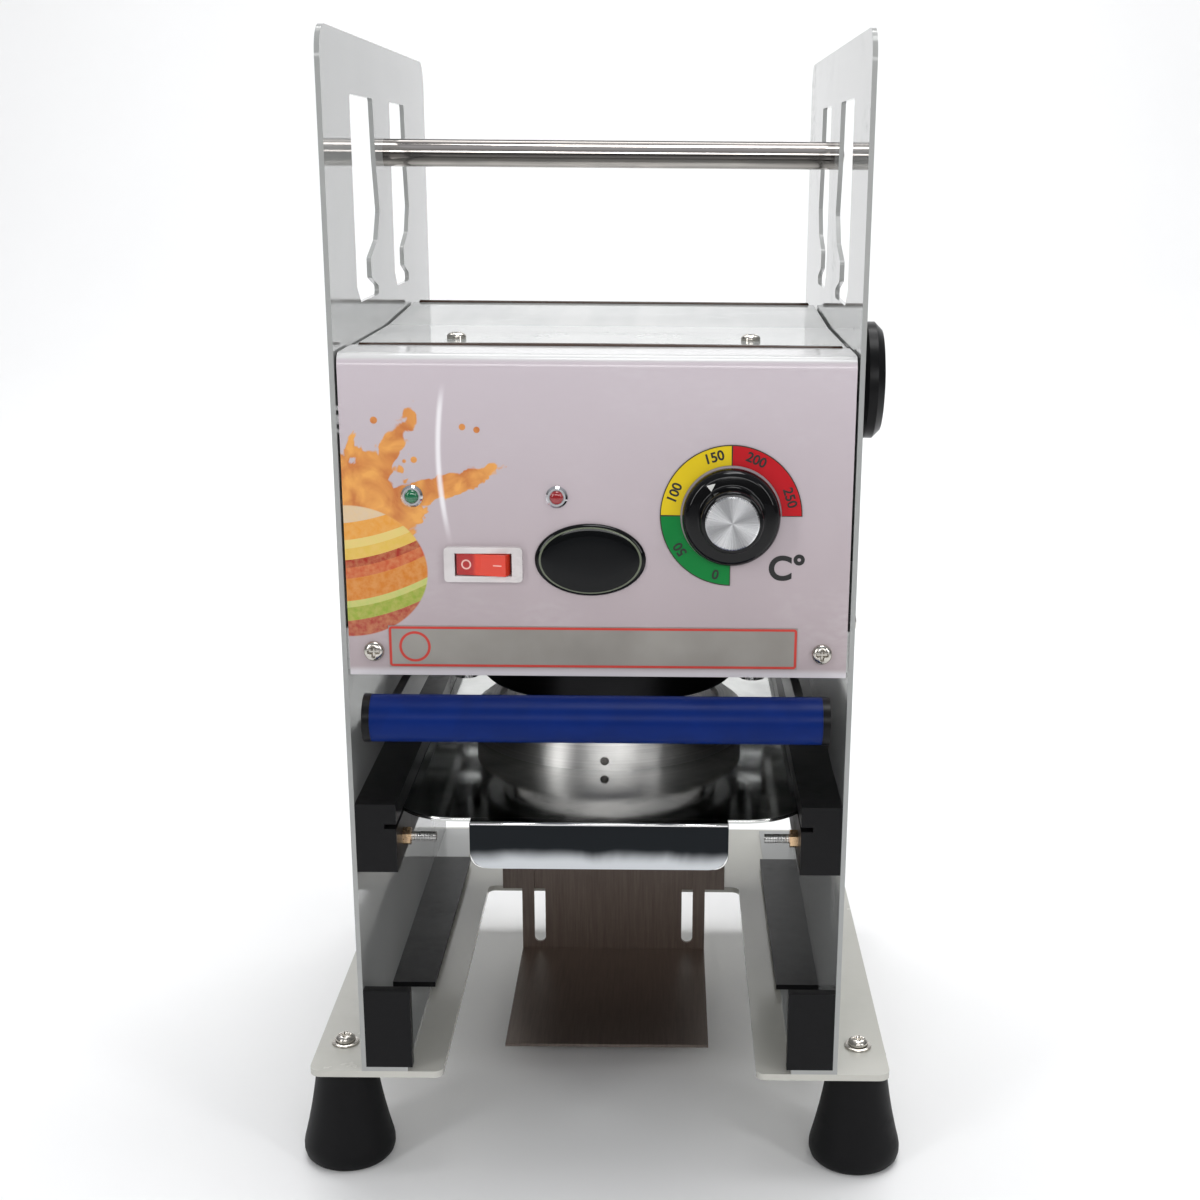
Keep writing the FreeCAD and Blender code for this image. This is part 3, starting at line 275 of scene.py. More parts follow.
def material(name, **fixed):
    """A new material with its Principled shader and any constant sockets set."""
    made = bpy.data.materials.new(name)
    made.use_nodes = True
    bench = Bench(made.node_tree)
    shader = made.node_tree.nodes["Principled BSDF"]
    for word, value in fixed.items():
        socket = shader.inputs[word.replace("_", " ")]
        socket.default_value = (*value, 1.0) if isinstance(value, tuple) else value
    return made, bench, shader.inputs


DUST_GREY = (0.42, 0.40, 0.37)


# ---------------------------------------------------------------- finishes
def enamel(name, colour, shade, gloss):
    """Stoved enamel: a slightly uneven colour, smeared gloss and faint orange peel."""
    made, b, shader = material(name, Coat_Weight=0.12, Coat_Roughness=0.03,
                               Specular_IOR_Level=0.35)
    marks = b.use(HANDLING, size=14.0, amount=1.0)
    drift = b.noise(b.stretch(b.spot(), (1.0, 1.0, 0.5)), 7.0, 2.0, 0.5)
    tone = b.mix(b.span(drift, 0.30, 0.70, smooth=True), colour, shade)
    tone = b.mix(b.math("MULTIPLY", marks["Mask"], 0.30), tone, tuple(c * 0.82 for c in shade))
    b.join(tone, shader["Base Color"])
    b.join(b.math("ADD", b.math("MULTIPLY", marks["Mask"], 0.16), gloss), shader["Roughness"])
    ripple = b.noise(b.spot(), 420.0, 2.0, 0.5)
    b.join(b.bump(ripple, 0.12, 0.00006), shader["Normal"])
    return made


def satin_black(name, colour, gloss, grain, dust, coat=0.0):
    """Black paint or moulding with a fine grain and a little dust on top."""
    made, b, shader = material(name, Coat_Weight=coat, Coat_Roughness=0.06,
                               Specular_IOR_Level=0.16)
    marks = b.use(HANDLING, size=26.0, amount=1.0)
    tone = b.mix(b.span(marks["Fine"], 0.3, 0.7), colour, tuple(c * 1.25 for c in colour))
    b.join(b.mix(b.use(DUST, size=90.0, amount=dust)["Mask"], tone, DUST_GREY),
           shader["Base Color"])
    b.join(b.math("ADD", b.math("MULTIPLY", marks["Mask"], 0.2), gloss), shader["Roughness"])
    b.join(b.bump(b.noise(b.spot(), grain, 3.0, 0.6), 0.12, 0.00004), shader["Normal"])
    return made


def plated(name, colour, gloss):
    """Bright plating: mirror metal with hairline scuffs and duller rubbed patches."""
    made, b, shader = material(name, Metallic=1.0)
    marks = b.use(HANDLING, size=40.0, amount=1.0)
    dull = tuple(c * 0.72 for c in colour)
    b.join(b.mix(b.span(marks["Mask"], 0.0, 1.0), colour, dull), shader["Base Color"])
    b.join(b.math("ADD", b.math("MULTIPLY", marks["Mask"], 0.12), gloss), shader["Roughness"])
    scuff = b.noise(b.stretch(b.spot(), (1, 1, 6)), 900.0, 2.0)
    b.join(b.bump(scuff, 0.05, 0.00004), shader["Normal"])
    return made


def brushed(name, colour, along, gloss):
    """Brushed sheet: hair lines along one axis in colour, gloss and relief."""
    made, b, shader = material(name, Metallic=1.0)
    lines = b.use(BRUSHING, along_x=along[0], along_y=along[1], along_z=along[2])
    marks = b.use(HANDLING, size=22.0, amount=1.0)
    dark = tuple(c * 0.7 for c in colour)
    tone = b.mix(b.span(lines["Lines"], 0.3, 0.7), dark, colour)
    b.join(b.mix(b.math("MULTIPLY", marks["Mask"], 0.35), tone, dark), shader["Base Color"])
    b.join(b.span(lines["Lines"], 0.2, 0.8, gloss, gloss + 0.16), shader["Roughness"])
    b.join(b.bump(lines["Lines"], 0.3, 0.00005), shader["Normal"])
    return made


def turned_metal(name, colour, gloss, pitch=2600.0):
    """Lathe-cut metal: fine rings in colour, gloss and relief."""
    made, b, shader = material(name, Metallic=1.0)
    rings = b.use(TURNING, pitch=pitch)
    dark = tuple(c * 0.75 for c in colour)
    b.join(b.mix(b.span(rings["Rings"], 0.3, 0.7), dark, colour), shader["Base Color"])
    b.join(b.span(rings["Rings"], 0.2, 0.8, gloss, gloss + 0.12), shader["Roughness"])
    b.join(b.bump(rings["Rings"], 0.12, 0.00004), shader["Normal"])
    return made


def moulded(name, colour, gloss, grain, **fixed):
    """Moulded plastic: flow-mottled colour, fine texture and handling marks."""
    made, b, shader = material(name, **fixed)
    marks = b.use(HANDLING, size=34.0, amount=1.0)
    flow = b.noise(b.spot(), 60.0, 2.0, 0.5, 0.8)
    low = tuple(c * 0.82 for c in colour)
    b.join(b.mix(b.span(flow, 0.3, 0.7), low, colour), shader["Base Color"])
    b.join(b.math("ADD", b.math("MULTIPLY", marks["Mask"], 0.18), gloss), shader["Roughness"])
    b.join(b.bump(b.noise(b.spot(), grain, 2.0), 0.12, 0.00005), shader["Normal"])
    return made


# Inks of the front panel.
LILAC = (0.39, 0.325, 0.34)
LILAC_LIGHT = (0.57, 0.51, 0.55)
ORANGE = (0.70, 0.22, 0.02)
CREAM = (0.80, 0.62, 0.42)


def printed_panel():
    """The front panel: lilac-white print with a plain splash of juice over fruit slices, and one
    soft streak of painted glare.
    """
    made, b, shader = material("printed panel", Coat_Weight=0.45, Coat_Roughness=0.03,
                               Specular_IOR_Level=0.3)
    where = b.spot()
    x, y, z = b.axes(where)
    marks = b.use(HANDLING, size=18.0, amount=1.0)
    ground = b.mix(b.span(z, 0.24, 0.37), LILAC, LILAC_LIGHT)
    ground = b.mix(b.math("MULTIPLY", marks["Mask"], 0.25), ground, (0.66, 0.63, 0.65))
    curl = b.noise(where, 95.0, 3.0, 0.5, 0.7)
    crown = b.math("ADD", b.inside(x, z, (-0.097, 0.304), (0.026, 0.021), -0.25),
                   b.math("MULTIPLY", b.math("SUBTRACT", curl, 0.5), 1.9))
    thread = b.math("SUBTRACT", b.noise(where, 190.0, 2.0, 0.4, 0.3), 0.5)
    jet = b.math("ADD", b.inside(x, z, (-0.072, 0.307), (0.034, 0.0045), 0.30),
                 b.math("MULTIPLY", thread, 1.7))
    plume = b.math("ADD", b.inside(x, z, (-0.083, 0.320), (0.024, 0.0040), 1.05),
                   b.math("MULTIPLY", thread, 1.5))
    jet = b.math("MAXIMUM", jet, plume)
    drops = b.add("ShaderNodeTexVoronoi", feature="F1")
    b.join(where, drops.inputs["Vector"])
    drops.inputs["Scale"].default_value = 120.0
    spray = b.math("MULTIPLY", b.step(drops.outputs["Distance"], 0.17, 0.02), -1.0)
    spray = b.math("ADD", spray, 1.0)
    cloud = b.step(b.inside(x, z, (-0.072, 0.316), (0.036, 0.027), 0.2), 0.02, 0.02)
    juice = b.math("MAXIMUM", b.step(crown, 0.0, 0.05), b.step(jet, 0.0, 0.08))
    juice = b.math("MAXIMUM", juice, b.math("MULTIPLY", spray, cloud))
    juice_tone = b.mix(b.span(curl, 0.35, 0.65), (0.52, 0.14, 0.01), (0.80, 0.36, 0.06))
    print_on = b.mix(b.math("MULTIPLY", juice, 0.92), ground, juice_tone)
    sag = b.math("MULTIPLY", b.math("POWER", b.math("ADD", x, 0.108), 2.0), 6.5)
    level = b.span(b.math("SUBTRACT", z, sag), 0.2535, 0.2985)
    slices = b.bands(level, [(0.0, (0.42, 0.05, 0.03)), (0.05, (0.30, 0.42, 0.04)),
                             (0.17, (0.55, 0.62, 0.18)), (0.23, ORANGE),
                             (0.43, (0.62, 0.10, 0.03)), (0.53, (0.40, 0.02, 0.01)),
                             (0.60, (0.82, 0.55, 0.10)), (0.70, (0.85, 0.68, 0.22)),
                             (0.78, (0.88, 0.38, 0.06)), (0.93, CREAM)])
    pulp = b.mix(b.span(b.noise(where, 400.0, 2.0), 0.35, 0.65), slices, (0.95, 0.62, 0.25))
    slices = b.mix(0.2, b.mix(0.25, slices, (0.05, 0.015, 0.0)), pulp)
    stack = b.step(b.inside(x, z, (-0.099, 0.2765), (0.0315, 0.0265)), 0.0, 0.012)
    print_on = b.mix(stack, print_on, slices)
    # Painted glare: a soft pale curve down the panel, a lamp's reflection painted into the base
    # colour.
    bend = b.math("SUBTRACT", x, b.math("MULTIPLY", b.math("SINE", b.math("MULTIPLY", z, 34.0)),
                                        0.006))
    painted_glare = b.math("SUBTRACT", 1.0, b.step(b.math("ABSOLUTE", b.math("ADD", bend, 0.056)),
                                           0.0009, 0.0007))
    painted_glare = b.math("MULTIPLY", painted_glare, b.math("MULTIPLY", b.step(z, 0.296, 0.010),
                                             b.math("SUBTRACT", 1.0, b.step(z, 0.346, 0.006))))
    print_on = b.mix(b.math("MULTIPLY", painted_glare, 0.75), print_on, (0.92, 0.90, 0.92))
    face = PANEL_FACE * MM
    front_only = b.span(y, face + 0.0005, face + 0.0012, 1.0, 0.0)
    low_edge = b.step(z, 0.2365, 0.0015)
    print_on = b.mix(low_edge, (0.60, 0.57, 0.60), print_on)
    b.join(b.mix(front_only, (0.60, 0.60, 0.60), print_on), shader["Base Color"])
    b.join(b.math("ADD", b.math("MULTIPLY", marks["Mask"], 0.12), 0.16), shader["Roughness"])
    film = b.noise(b.stretch(where, (1.0, 1.0, 0.25), turn=(0, 0.3, 0)), 26.0, 2.0, 0.4, 0.5)
    b.join(b.bump(film, 0.18, 0.0010), shader["Normal"])
    return made


def scale_and_notice():
    """One print for the dial's coloured scale and the grey plate with its red keyline."""
    made, b, shader = material("scale and notice", Coat_Weight=0.1, Coat_Roughness=0.08,
                               Specular_IOR_Level=0.2)
    x, _, z = b.axes(b.spot())
    dial_x, dial_z = metres(DIAL)
    from_x, from_z = b.math("SUBTRACT", dial_x, x), b.math("SUBTRACT", dial_z, z)
    turn = b.math("ARCTAN2", from_x, from_z)
    turn = b.math("ADD", turn, b.math("MULTIPLY", b.math("LESS_THAN", turn, 0.0), math.tau))
    scale = b.bands(b.math("DIVIDE", turn, math.tau), [
        (0.0, (0.0, 0.19, 0.035)), (0.25, (0.68, 0.50, 0.01)), (0.5, (0.46, 0.006, 0.012))])
    far = b.math("SQRT", b.math("ADD", b.math("MULTIPLY", from_x, from_x),
                                b.math("MULTIPLY", from_z, from_z)))
    quarter = b.math("ABSOLUTE", b.math("SINE", b.math("MULTIPLY", turn, 2.0)))
    line = b.math("MAXIMUM", b.step(b.math("MULTIPLY", quarter, -1.0), -0.022, 0.006),
                  b.step(far, 0.0276, 0.0001))
    scale = b.mix(line, scale, (0.03, 0.03, 0.02))
    deep = b.in_box(x, z, centre=(-0.002, 0.246), half=(0.082, 0.0085), round_off=0.0015)
    rim = b.math("MULTIPLY", b.step(deep, 0.0002, 0.0001),
                 b.math("SUBTRACT", 1.0, b.step(deep, 0.0012, 0.0001)))
    ring = b.math("ABSOLUTE", b.inside(x, z, centre=(-0.0735, 0.246), radii=(0.0058, 0.0058)))
    rim = b.math("MAXIMUM", rim, b.math("SUBTRACT", 1.0, b.step(ring, 0.09, 0.02)))
    plain = b.mix(b.span(b.noise(b.spot(), 30.0), 0.3, 0.7), (0.24, 0.225, 0.205),
                  (0.31, 0.295, 0.27))
    plate = b.mix(rim, plain, (0.52, 0.045, 0.035))
    high = b.step(z, 0.262, 0.0005)
    b.join(b.mix(high, plate, scale), shader["Base Color"])
    b.join(b.span(b.noise(b.spot(), 300.0), 0.3, 0.7, 0.28, 0.40), shader["Roughness"])
    b.join(b.bump(b.noise(b.spot(), 500.0), 0.05, 0.00004), shader["Normal"])
    return made


def bolt_and_nut():
    """Stop bolts: a zinc shank with a brass nut against each rail."""
    made, b, shader = material("stop bolt", Metallic=1.0)
    x = b.axes(b.spot())[0]
    nut = b.step(b.math("ABSOLUTE", x), 0.0806, 0.0001)
    marks = b.use(HANDLING, size=60.0, amount=1.0)
    tone = b.mix(nut, (0.50, 0.50, 0.49), (0.72, 0.50, 0.30))
    b.join(b.mix(b.math("MULTIPLY", marks["Mask"], 0.5), tone, (0.2, 0.17, 0.13)),
           shader["Base Color"])
    b.join(b.math("ADD", b.math("MULTIPLY", marks["Mask"], 0.2), 0.25), shader["Roughness"])
    thread = b.math("SINE", b.math("MULTIPLY", x, math.tau / 0.0007))
    thread = b.math("MULTIPLY", thread, b.math("SUBTRACT", 1.0, nut))
    b.join(b.bump(thread, 0.6, 0.0001), shader["Normal"])
    return made


def spun_face():
    """The dial's cap: painted spokes of highlight, as a spun face shows them, by angle round its
    middle.
    """
    made, b, shader = material("spun cap", Metallic=1.0)
    x, _, z = b.axes(b.spot())
    dial_x, dial_z = metres(DIAL)
    turn = b.math("ARCTAN2", b.math("SUBTRACT", x, dial_x), b.math("SUBTRACT", z, dial_z))
    spoke = b.add("ShaderNodeTexNoise", noise_dimensions="1D")
    b.join(b.math("MULTIPLY", turn, 9.0), spoke.inputs["W"])
    spoke.inputs["Scale"].default_value = 3.0
    # Painted highlight: four bright lobes and the spoke noise set the base colour by angle; the
    # spokes also give real roughness and relief.
    painted_highlight_lobes = b.span(b.math("SINE", b.math("MULTIPLY", turn, 4.0)), -1.0, 1.0)
    light = b.math("ADD", b.math("MULTIPLY", painted_highlight_lobes, 0.65),
                   b.math("MULTIPLY", spoke.outputs["Fac"], 0.35))
    b.join(b.mix(light, (0.34, 0.34, 0.35), (0.95, 0.95, 0.96)), shader["Base Color"])
    b.join(b.span(spoke.outputs["Fac"], 0.3, 0.7, 0.16, 0.32), shader["Roughness"])
    b.join(b.bump(spoke.outputs["Fac"], 0.15, 0.00004), shader["Normal"])
    return made


def domed_resin():
    """The oval badge: a black gloss dome with one thin pale line near its rim."""
    made, b, shader = material("badge resin", Coat_Weight=0.12, Coat_Roughness=0.02,
                               Specular_IOR_Level=0.15)
    x, _, z = b.axes(b.spot())
    deep = b.inside(x, z, metres(BADGE), metres(BADGE_HALF))
    line = b.math("MULTIPLY", b.step(deep, 0.075, 0.008),
                  b.math("SUBTRACT", 1.0, b.step(deep, 0.11, 0.008)))
    b.join(b.mix(b.math("MULTIPLY", line, 0.55), (0.003, 0.0035, 0.004), (0.25, 0.28, 0.20)),
           shader["Base Color"])
    b.join(b.span(b.noise(b.spot(), 90.0), 0.3, 0.7, 0.03, 0.10), shader["Roughness"])
    return made


def marked_rocker():
    """The red rocker: a pale ring on its off side, a pale bar on its on side; its off half
    painted darker as shade, and a faint painted glow.
    """
    # The small emission of the rocker's own red is a painted glow.
    made, b, shader = material("marked rocker", Coat_Weight=0.5, Coat_Roughness=0.08,
                               Emission_Strength=0.10)
    x, _, z = b.axes(b.spot())
    ring = b.inside(x, z, centre=(-0.0520, 0.280), radii=(0.0017, 0.0017))
    ring = b.math("SUBTRACT", 1.0, b.step(b.math("ABSOLUTE", ring), 0.17, 0.04))
    line = b.in_box(x, z, centre=(-0.0395, 0.280), half=(0.0017, 0.00022))
    mark = b.math("MAXIMUM", ring, b.step(line, 0.0, 0.0001))
    # Painted shade: the off half gets a darker copy of the red than the on half.
    side = b.span(x, -0.0496, -0.0480)
    red = b.mix(side, (0.36, 0.008, 0.008), (0.62, 0.035, 0.012))
    b.join(b.mix(b.math("MULTIPLY", mark, 0.8), red, (0.85, 0.62, 0.55)), shader["Base Color"])
    b.join(red, shader["Emission Color"])
    b.join(b.span(b.noise(b.spot(), 400.0), 0.3, 0.7, 0.12, 0.24), shader["Roughness"])
    return made


def mirror_sheet():
    """The drawer's polished steel: a cloudy mirror, on a lip with a painted reflection, pale at
    its foot and dark above.
    """
    made, b, shader = material("mirror sheet", Metallic=1.0)
    where = b.spot()
    _, y, z = b.axes(where)
    marks = b.use(HANDLING, size=40.0, amount=1.0)
    cloud = b.noise(b.stretch(where, (1.0, 1.0, 0.5)), 30.0, 3.0, 0.55, 0.6)
    top = b.mix(b.span(cloud, 0.35, 0.65), (0.42, 0.43, 0.42), (0.66, 0.67, 0.65))
    # Painted reflection on the lip: a pale highlight at its foot and the dark of a reflected
    # room above, by height.
    height = b.math("ADD", z, b.math("MULTIPLY", b.math("SUBTRACT", cloud, 0.5), 0.008))
    foot = b.span(height, 0.1505, 0.1575, smooth=True)
    lip_painted_reflection = b.mix(foot, (0.52, 0.54, 0.56), (0.014, 0.016, 0.018))
    on_lip = b.span(y, -0.1295, -0.1290, 1.0, 0.0)
    b.join(b.mix(on_lip, top, lip_painted_reflection), shader["Base Color"])
    b.join(b.math("ADD", b.math("MULTIPLY", marks["Mask"], 0.16), 0.09), shader["Roughness"])
    b.join(b.bump(b.noise(where, 50.0, 2.0), 0.10, 0.0004), shader["Normal"])
    return made


def chrome_painted_reflections():
    """The chromed cross rod: painted reflections, warm light and dark bands that change with
    height.
    """
    made, b, shader = material("chrome painted reflections", Metallic=1.0)
    z = b.axes(b.spot())[2]
    wave = b.math("MULTIPLY", b.math("SUBTRACT", b.noise(b.stretch(b.spot(), (0.2, 1, 1)), 90.0),
                                     0.5), 0.0008)
    level = b.span(b.math("ADD", z, wave), 0.430, 0.442)
    # Painted reflection: warm light and dark bands by height stand in for the room the rod
    # reflects.
    painted_reflection_tones = [(0.0, 0.25), (0.12, 0.85), (0.24, 0.30), (0.36, 0.10), (0.50, 0.16), (0.58, 0.62),
             (0.72, 0.80), (0.84, 0.28), (1.0, 0.12)]
    stops = [(place, (tone, tone * 0.93, tone * 0.88)) for place, tone in painted_reflection_tones]
    b.join(b.bands(level, stops, "LINEAR"), shader["Base Color"])
    b.join(b.span(b.noise(b.spot(), 200.0), 0.3, 0.7, 0.05, 0.14), shader["Roughness"])
    return made


def cover_enamel():
    """The top cover: gloss enamel with painted reflections streaked from side to side, and
    handling smears.
    """
    made, b, shader = material("cover enamel", Coat_Weight=0.15, Coat_Roughness=0.03,
                               Specular_IOR_Level=0.25)
    marks = b.use(HANDLING, size=14.0, amount=1.0)
    # Painted reflection: pale streaks of reflected sky from side to side; the handling smears
    # mixed in next are real.
    painted_reflection_and_smears = b.mix(b.span(b.noise(b.stretch(b.spot(), (6.0, 0.6, 1.0)), 6.0, 2.0), 0.4, 0.6),
                (0.38, 0.395, 0.39), (0.45, 0.46, 0.45))
    painted_reflection_and_smears = b.mix(b.math("MULTIPLY", marks["Mask"], 0.3), painted_reflection_and_smears, (0.55, 0.60, 0.56))
    b.join(painted_reflection_and_smears, shader["Base Color"])
    b.join(b.math("ADD", b.math("MULTIPLY", marks["Mask"], 0.14), 0.07), shader["Roughness"])
    b.join(b.bump(b.noise(b.spot(), 60.0, 2.0), 0.08, 0.0004), shader["Normal"])
    return made


white = enamel("white enamel", (0.37, 0.375, 0.367), (0.325, 0.333, 0.328), 0.06)
base_white = enamel("base enamel", (0.56, 0.55, 0.51), (0.47, 0.465, 0.42), 0.16)
black_paint = satin_black("black rail paint", (0.004, 0.004, 0.0045), 0.34, 700.0, 0.03)
rubber = satin_black("foot rubber", (0.0035, 0.0035, 0.004), 0.50, 500.0, 0.02)
nylon = satin_black("black nylon", (0.004, 0.004, 0.0045), 0.30, 900.0, 0.02)
knob_black = satin_black("knob black", (0.003, 0.003, 0.0035), 0.10, 900.0, 0.0, 0.22)
chrome = plated("chrome rod", (0.78, 0.78, 0.80), 0.05)
nickel = plated("nickel screws", (0.62, 0.59, 0.54), 0.18)
bronze = plated("bronze bush", (0.52, 0.36, 0.19), 0.35)
zinc = plated("zinc plate", (0.52, 0.53, 0.52), 0.30)
spring = plated("spring wire", (0.50, 0.50, 0.51), 0.22)
mirror = mirror_sheet()
bright_edge = plated("bright rolled edge", (0.85, 0.85, 0.84), 0.12)
shelf_steel = brushed("brushed shelf", (0.20, 0.165, 0.145), (900.0, 40.0, 40.0), 0.30)
arm_steel = brushed("brushed arms", (0.45, 0.45, 0.45), (60.0, 60.0, 1200.0), 0.25)
mould_metal = turned_metal("turned mould", (0.90, 0.88, 0.87), 0.30, 900.0)
black_steel = turned_metal("black cutter", (0.02, 0.02, 0.021), 0.30)
board = moulded("insulation board", (0.30, 0.25, 0.19), 0.7, 200.0)
blue_sleeve = moulded("blue sleeve", (0.0, 0.015, 0.13), 0.36, 900.0,
                      Specular_IOR_Level=0.12)
white_nylon = moulded("white bezel", (0.70, 0.66, 0.66), 0.22, 500.0)
green_glass = moulded("green lens", (0.0, 0.13, 0.05), 0.08, 300.0, Coat_Weight=1.0)
red_glass = moulded("red lens", (0.30, 0.006, 0.01), 0.08, 300.0, Coat_Weight=1.0)
roller = moulded("roller rubber", (0.03, 0.03, 0.032), 0.6, 500.0)
# Painted shadow and reflection: a dark brown for strips that stand in for shade and reflected
# surroundings on the cover.
painted_shadow_and_reflection = moulded("painted shadow and reflection strip", (0.045, 0.018, 0.008), 0.22, 300.0)
ink = moulded("black ink", (0.008, 0.008, 0.008), 0.4, 900.0)
pointer_white = moulded("pointer white", (0.75, 0.75, 0.72), 0.4, 900.0)
panel_print = printed_panel()
label_print = scale_and_notice()
stop_metal = bolt_and_nut()
knob_cap = spun_face()
badge_gloss = domed_resin()
red_rocker = marked_rocker()
cover_paint = cover_enamel()
rod_painted_reflections = chrome_painted_reflections()


def painted(paint, *names):
    """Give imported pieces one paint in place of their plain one."""
    for name in names:
        nodes[name].data.materials.clear()
        nodes[name].data.materials.append(paint)


painted(white, "left_side_plate", "right_side_plate", "rear_cover")
painted(base_white, "base_plate")
painted(cover_paint, "top_cover")
painted(panel_print, "front_panel")
painted(label_print, "panel_labels")
painted(black_paint, "front_blocks", "clamp_strips", "left_rail", "right_rail", "guide_beam",
        "press_crosshead")
painted(nylon, "handle_end_caps", "feed_knob", "feed_bushes", "power_inlet",
        "shelf_clamp_screws")
painted(rod_painted_reflections, "tie_rod")
painted(chrome, "film_guides", "guide_posts", "lever_shaft", "lever_pins",
        "feed_shaft", "lamp_bezels")
painted(nickel, "side_screws", "mould_screws", "heater_screws")
painted(stop_metal, "stop_bolts")
painted(bronze, "post_bushes")
painted(zinc, "lever_spacers", "casing_brackets", "post_collars", "thermostat_body",
        "thermostat_shaft", "handle_core")
painted(mirror, "drawer_tray")
painted(shelf_steel, "cup_shelf", "shelf_support")
painted(arm_steel, "left_lever_arm", "right_lever_arm")
painted(mould_metal, "mould_ring", "heater_plate")
painted(black_steel, "cutter_ring")
painted(board, "insulation_disc", "heating_element")
painted(blue_sleeve, "handle_grip")
painted(white_nylon, "switch_housing")
painted(red_rocker, "rocker")
painted(roller, "feed_roller")
painted(knob_cap, "dial_knob_cap")


# ---------------------------------------------------------------- shapes
# Frame axes that hold a turned shape's two ways across and its way along, and the sign of along.
AXES = {"up": (0, 1, 2, 1), "front": (0, 2, 1, -1)}


def skin(rings, ends):
    """Faces between closed rings of points; ends holds the two points that close the piece."""
    count, around = rings.shape[:2]
    at = np.arange(count * around).reshape(count, around)
    on = np.roll(at, -1, axis=1)
    quads = np.stack([at[:-1], on[:-1], on[1:], at[1:]], -1).reshape(-1, 4).tolist()
    low = np.full(around, count * around)
    caps = np.concatenate((np.stack([low, on[0], at[0]], -1),
                           np.stack([low + 1, at[-1], on[-1]], -1))).tolist()
    return np.concatenate((rings.reshape(-1, 3), np.array(ends))), quads + caps


def lathe(profile, centre, facing="up", around=72, squeeze=1.0, carve=None):
    """A profile of (distance, height) in mm turned about an axis through the centre. At angle t
    a point lies at distance*cos(t) and squeeze*distance*sin(t) across, and height along; the
    first and last points lie on the axis. carve(u, v) lowers points above height 0."""
    profile = np.array(profile, dtype=float)
    t = np.linspace(0, math.tau, around, endpoint=False)
    far, high = profile[1:-1, 0][:, None], profile[1:-1, 1][:, None]
    u, v = far * np.cos(t), squeeze * far * np.sin(t)
    w = np.repeat(high, around, axis=1)
    low, top = profile[0, 1], profile[-1, 1]
    if carve is not None:
        w = np.where(w > 0, w - carve(u, v), w)
        top = top - carve(0.0, 0.0)
    a, b, c, sign = AXES[facing]
    rings = np.zeros((*u.shape, 3))
    rings[..., a], rings[..., b], rings[..., c] = u, v, w * sign
    ends = np.zeros((2, 3))
    ends[:, c] = np.array([low, top]) * sign
    points, faces = skin(rings, ends)
    return (points + np.array(centre)) * MM, faces


def bar(path, radius, flat, around=16):
    """A round bar along a flat path in mm: each ring is the path's point plus radius*(cos(t) of
    the direction across + sin(t) of the flat's normal); both ends close to a point."""
    path, flat = np.array(path, dtype=float), np.array(flat, dtype=float)
    ahead = np.gradient(path, axis=0)
    ahead /= np.linalg.norm(ahead, axis=1, keepdims=True)
    side = np.cross(flat, ahead)
    t = np.linspace(0, math.tau, around, endpoint=False)
    rings = path[:, None] + radius * (np.cos(t)[None, :, None] * side[:, None]
                                      + np.sin(t)[None, :, None] * flat)
    ends = (path[0] - ahead[0] * radius * 0.6, path[-1] + ahead[-1] * radius * 0.6)
    points, faces = skin(rings, ends)
    return points * MM, faces


def coil(centre, radius, wire, low, high, turns, around=12):
    """A round wire on a helix, in mm: at helix angle t and ring angle a a point lies radius +
    wire*cos(a) from the axis, and wire*sin(a) below the helix, which climbs evenly with t."""
    t = np.linspace(0, math.tau * turns, int(turns * 36) + 1)[:, None]
    a = np.linspace(0, math.tau, around, endpoint=False)[None]
    far = radius + wire * np.cos(a)
    rise = low + wire + (high - low - 2 * wire) * t / t[-1]
    rings = np.stack([far * np.cos(t), far * np.sin(t), rise - wire * np.sin(a)], -1)
    ends = [(radius * math.cos(t[at, 0]), radius * math.sin(t[at, 0]), rise[at, 0])
            for at in (0, -1)]
    points, faces = skin(rings + np.array(centre), np.array(ends) + np.array(centre))
    return points * MM, faces


def arc(centre, radius, start, stop, count=13):
    """Points in mm on an arc in a plane, angles in degrees."""
    t = np.radians(np.linspace(start, stop, count))
    return np.stack([centre[0] + radius * np.cos(t), centre[1] + radius * np.sin(t)], 1)


def piece(name, shapes, body, paint, instead=(), crease=35.0):
    """One new object from a list of (points, faces) that ride together on a body."""
    start, points, faces = 0, [], []
    for verts, polys in shapes:
        points.append(verts)
        faces += [[start + i for i in poly] for poly in polys]
        start += len(verts)
    mesh = bpy.data.meshes.new(name)
    mesh.from_pydata(np.concatenate(points).tolist(), [], faces)
    mesh.shade_smooth()
    mesh.set_sharp_from_angle(angle=math.radians(crease))
    mesh.materials.append(paint)
    thing = bpy.data.objects.new(name, mesh)
    bpy.context.scene.collection.objects.link(thing)
    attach(thing, body)
    if instead:
        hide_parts(*instead)
    return thing


def lettering(name, words, height, spot, turn, bold=0.0):
    """Printed figures as a thin mesh on the panel; turn is clockwise in degrees."""
    curve = bpy.data.curves.new(name, "FONT")
    curve.body, curve.size, curve.offset = words, height * MM, bold * MM
    curve.align_x, curve.align_y = "CENTER", "CENTER"
    curve.extrude = 0.02 * MM
    rough = bpy.data.objects.new(name + " outline", curve)
    mesh = bpy.data.meshes.new_from_object(rough)
    bpy.data.objects.remove(rough)
    bpy.data.curves.remove(curve)
    mesh.transform(Matrix.Translation(Vector(spot) * MM)
                   @ Matrix.Rotation(math.radians(90), 4, "X")
                   @ Matrix.Rotation(math.radians(-turn), 4, "Z"))
    mesh.name = name
    mesh.materials.clear()
    mesh.materials.append(ink)
    thing = bpy.data.objects.new(name, mesh)
    bpy.context.scene.collection.objects.link(thing)
    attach(thing, "frame")


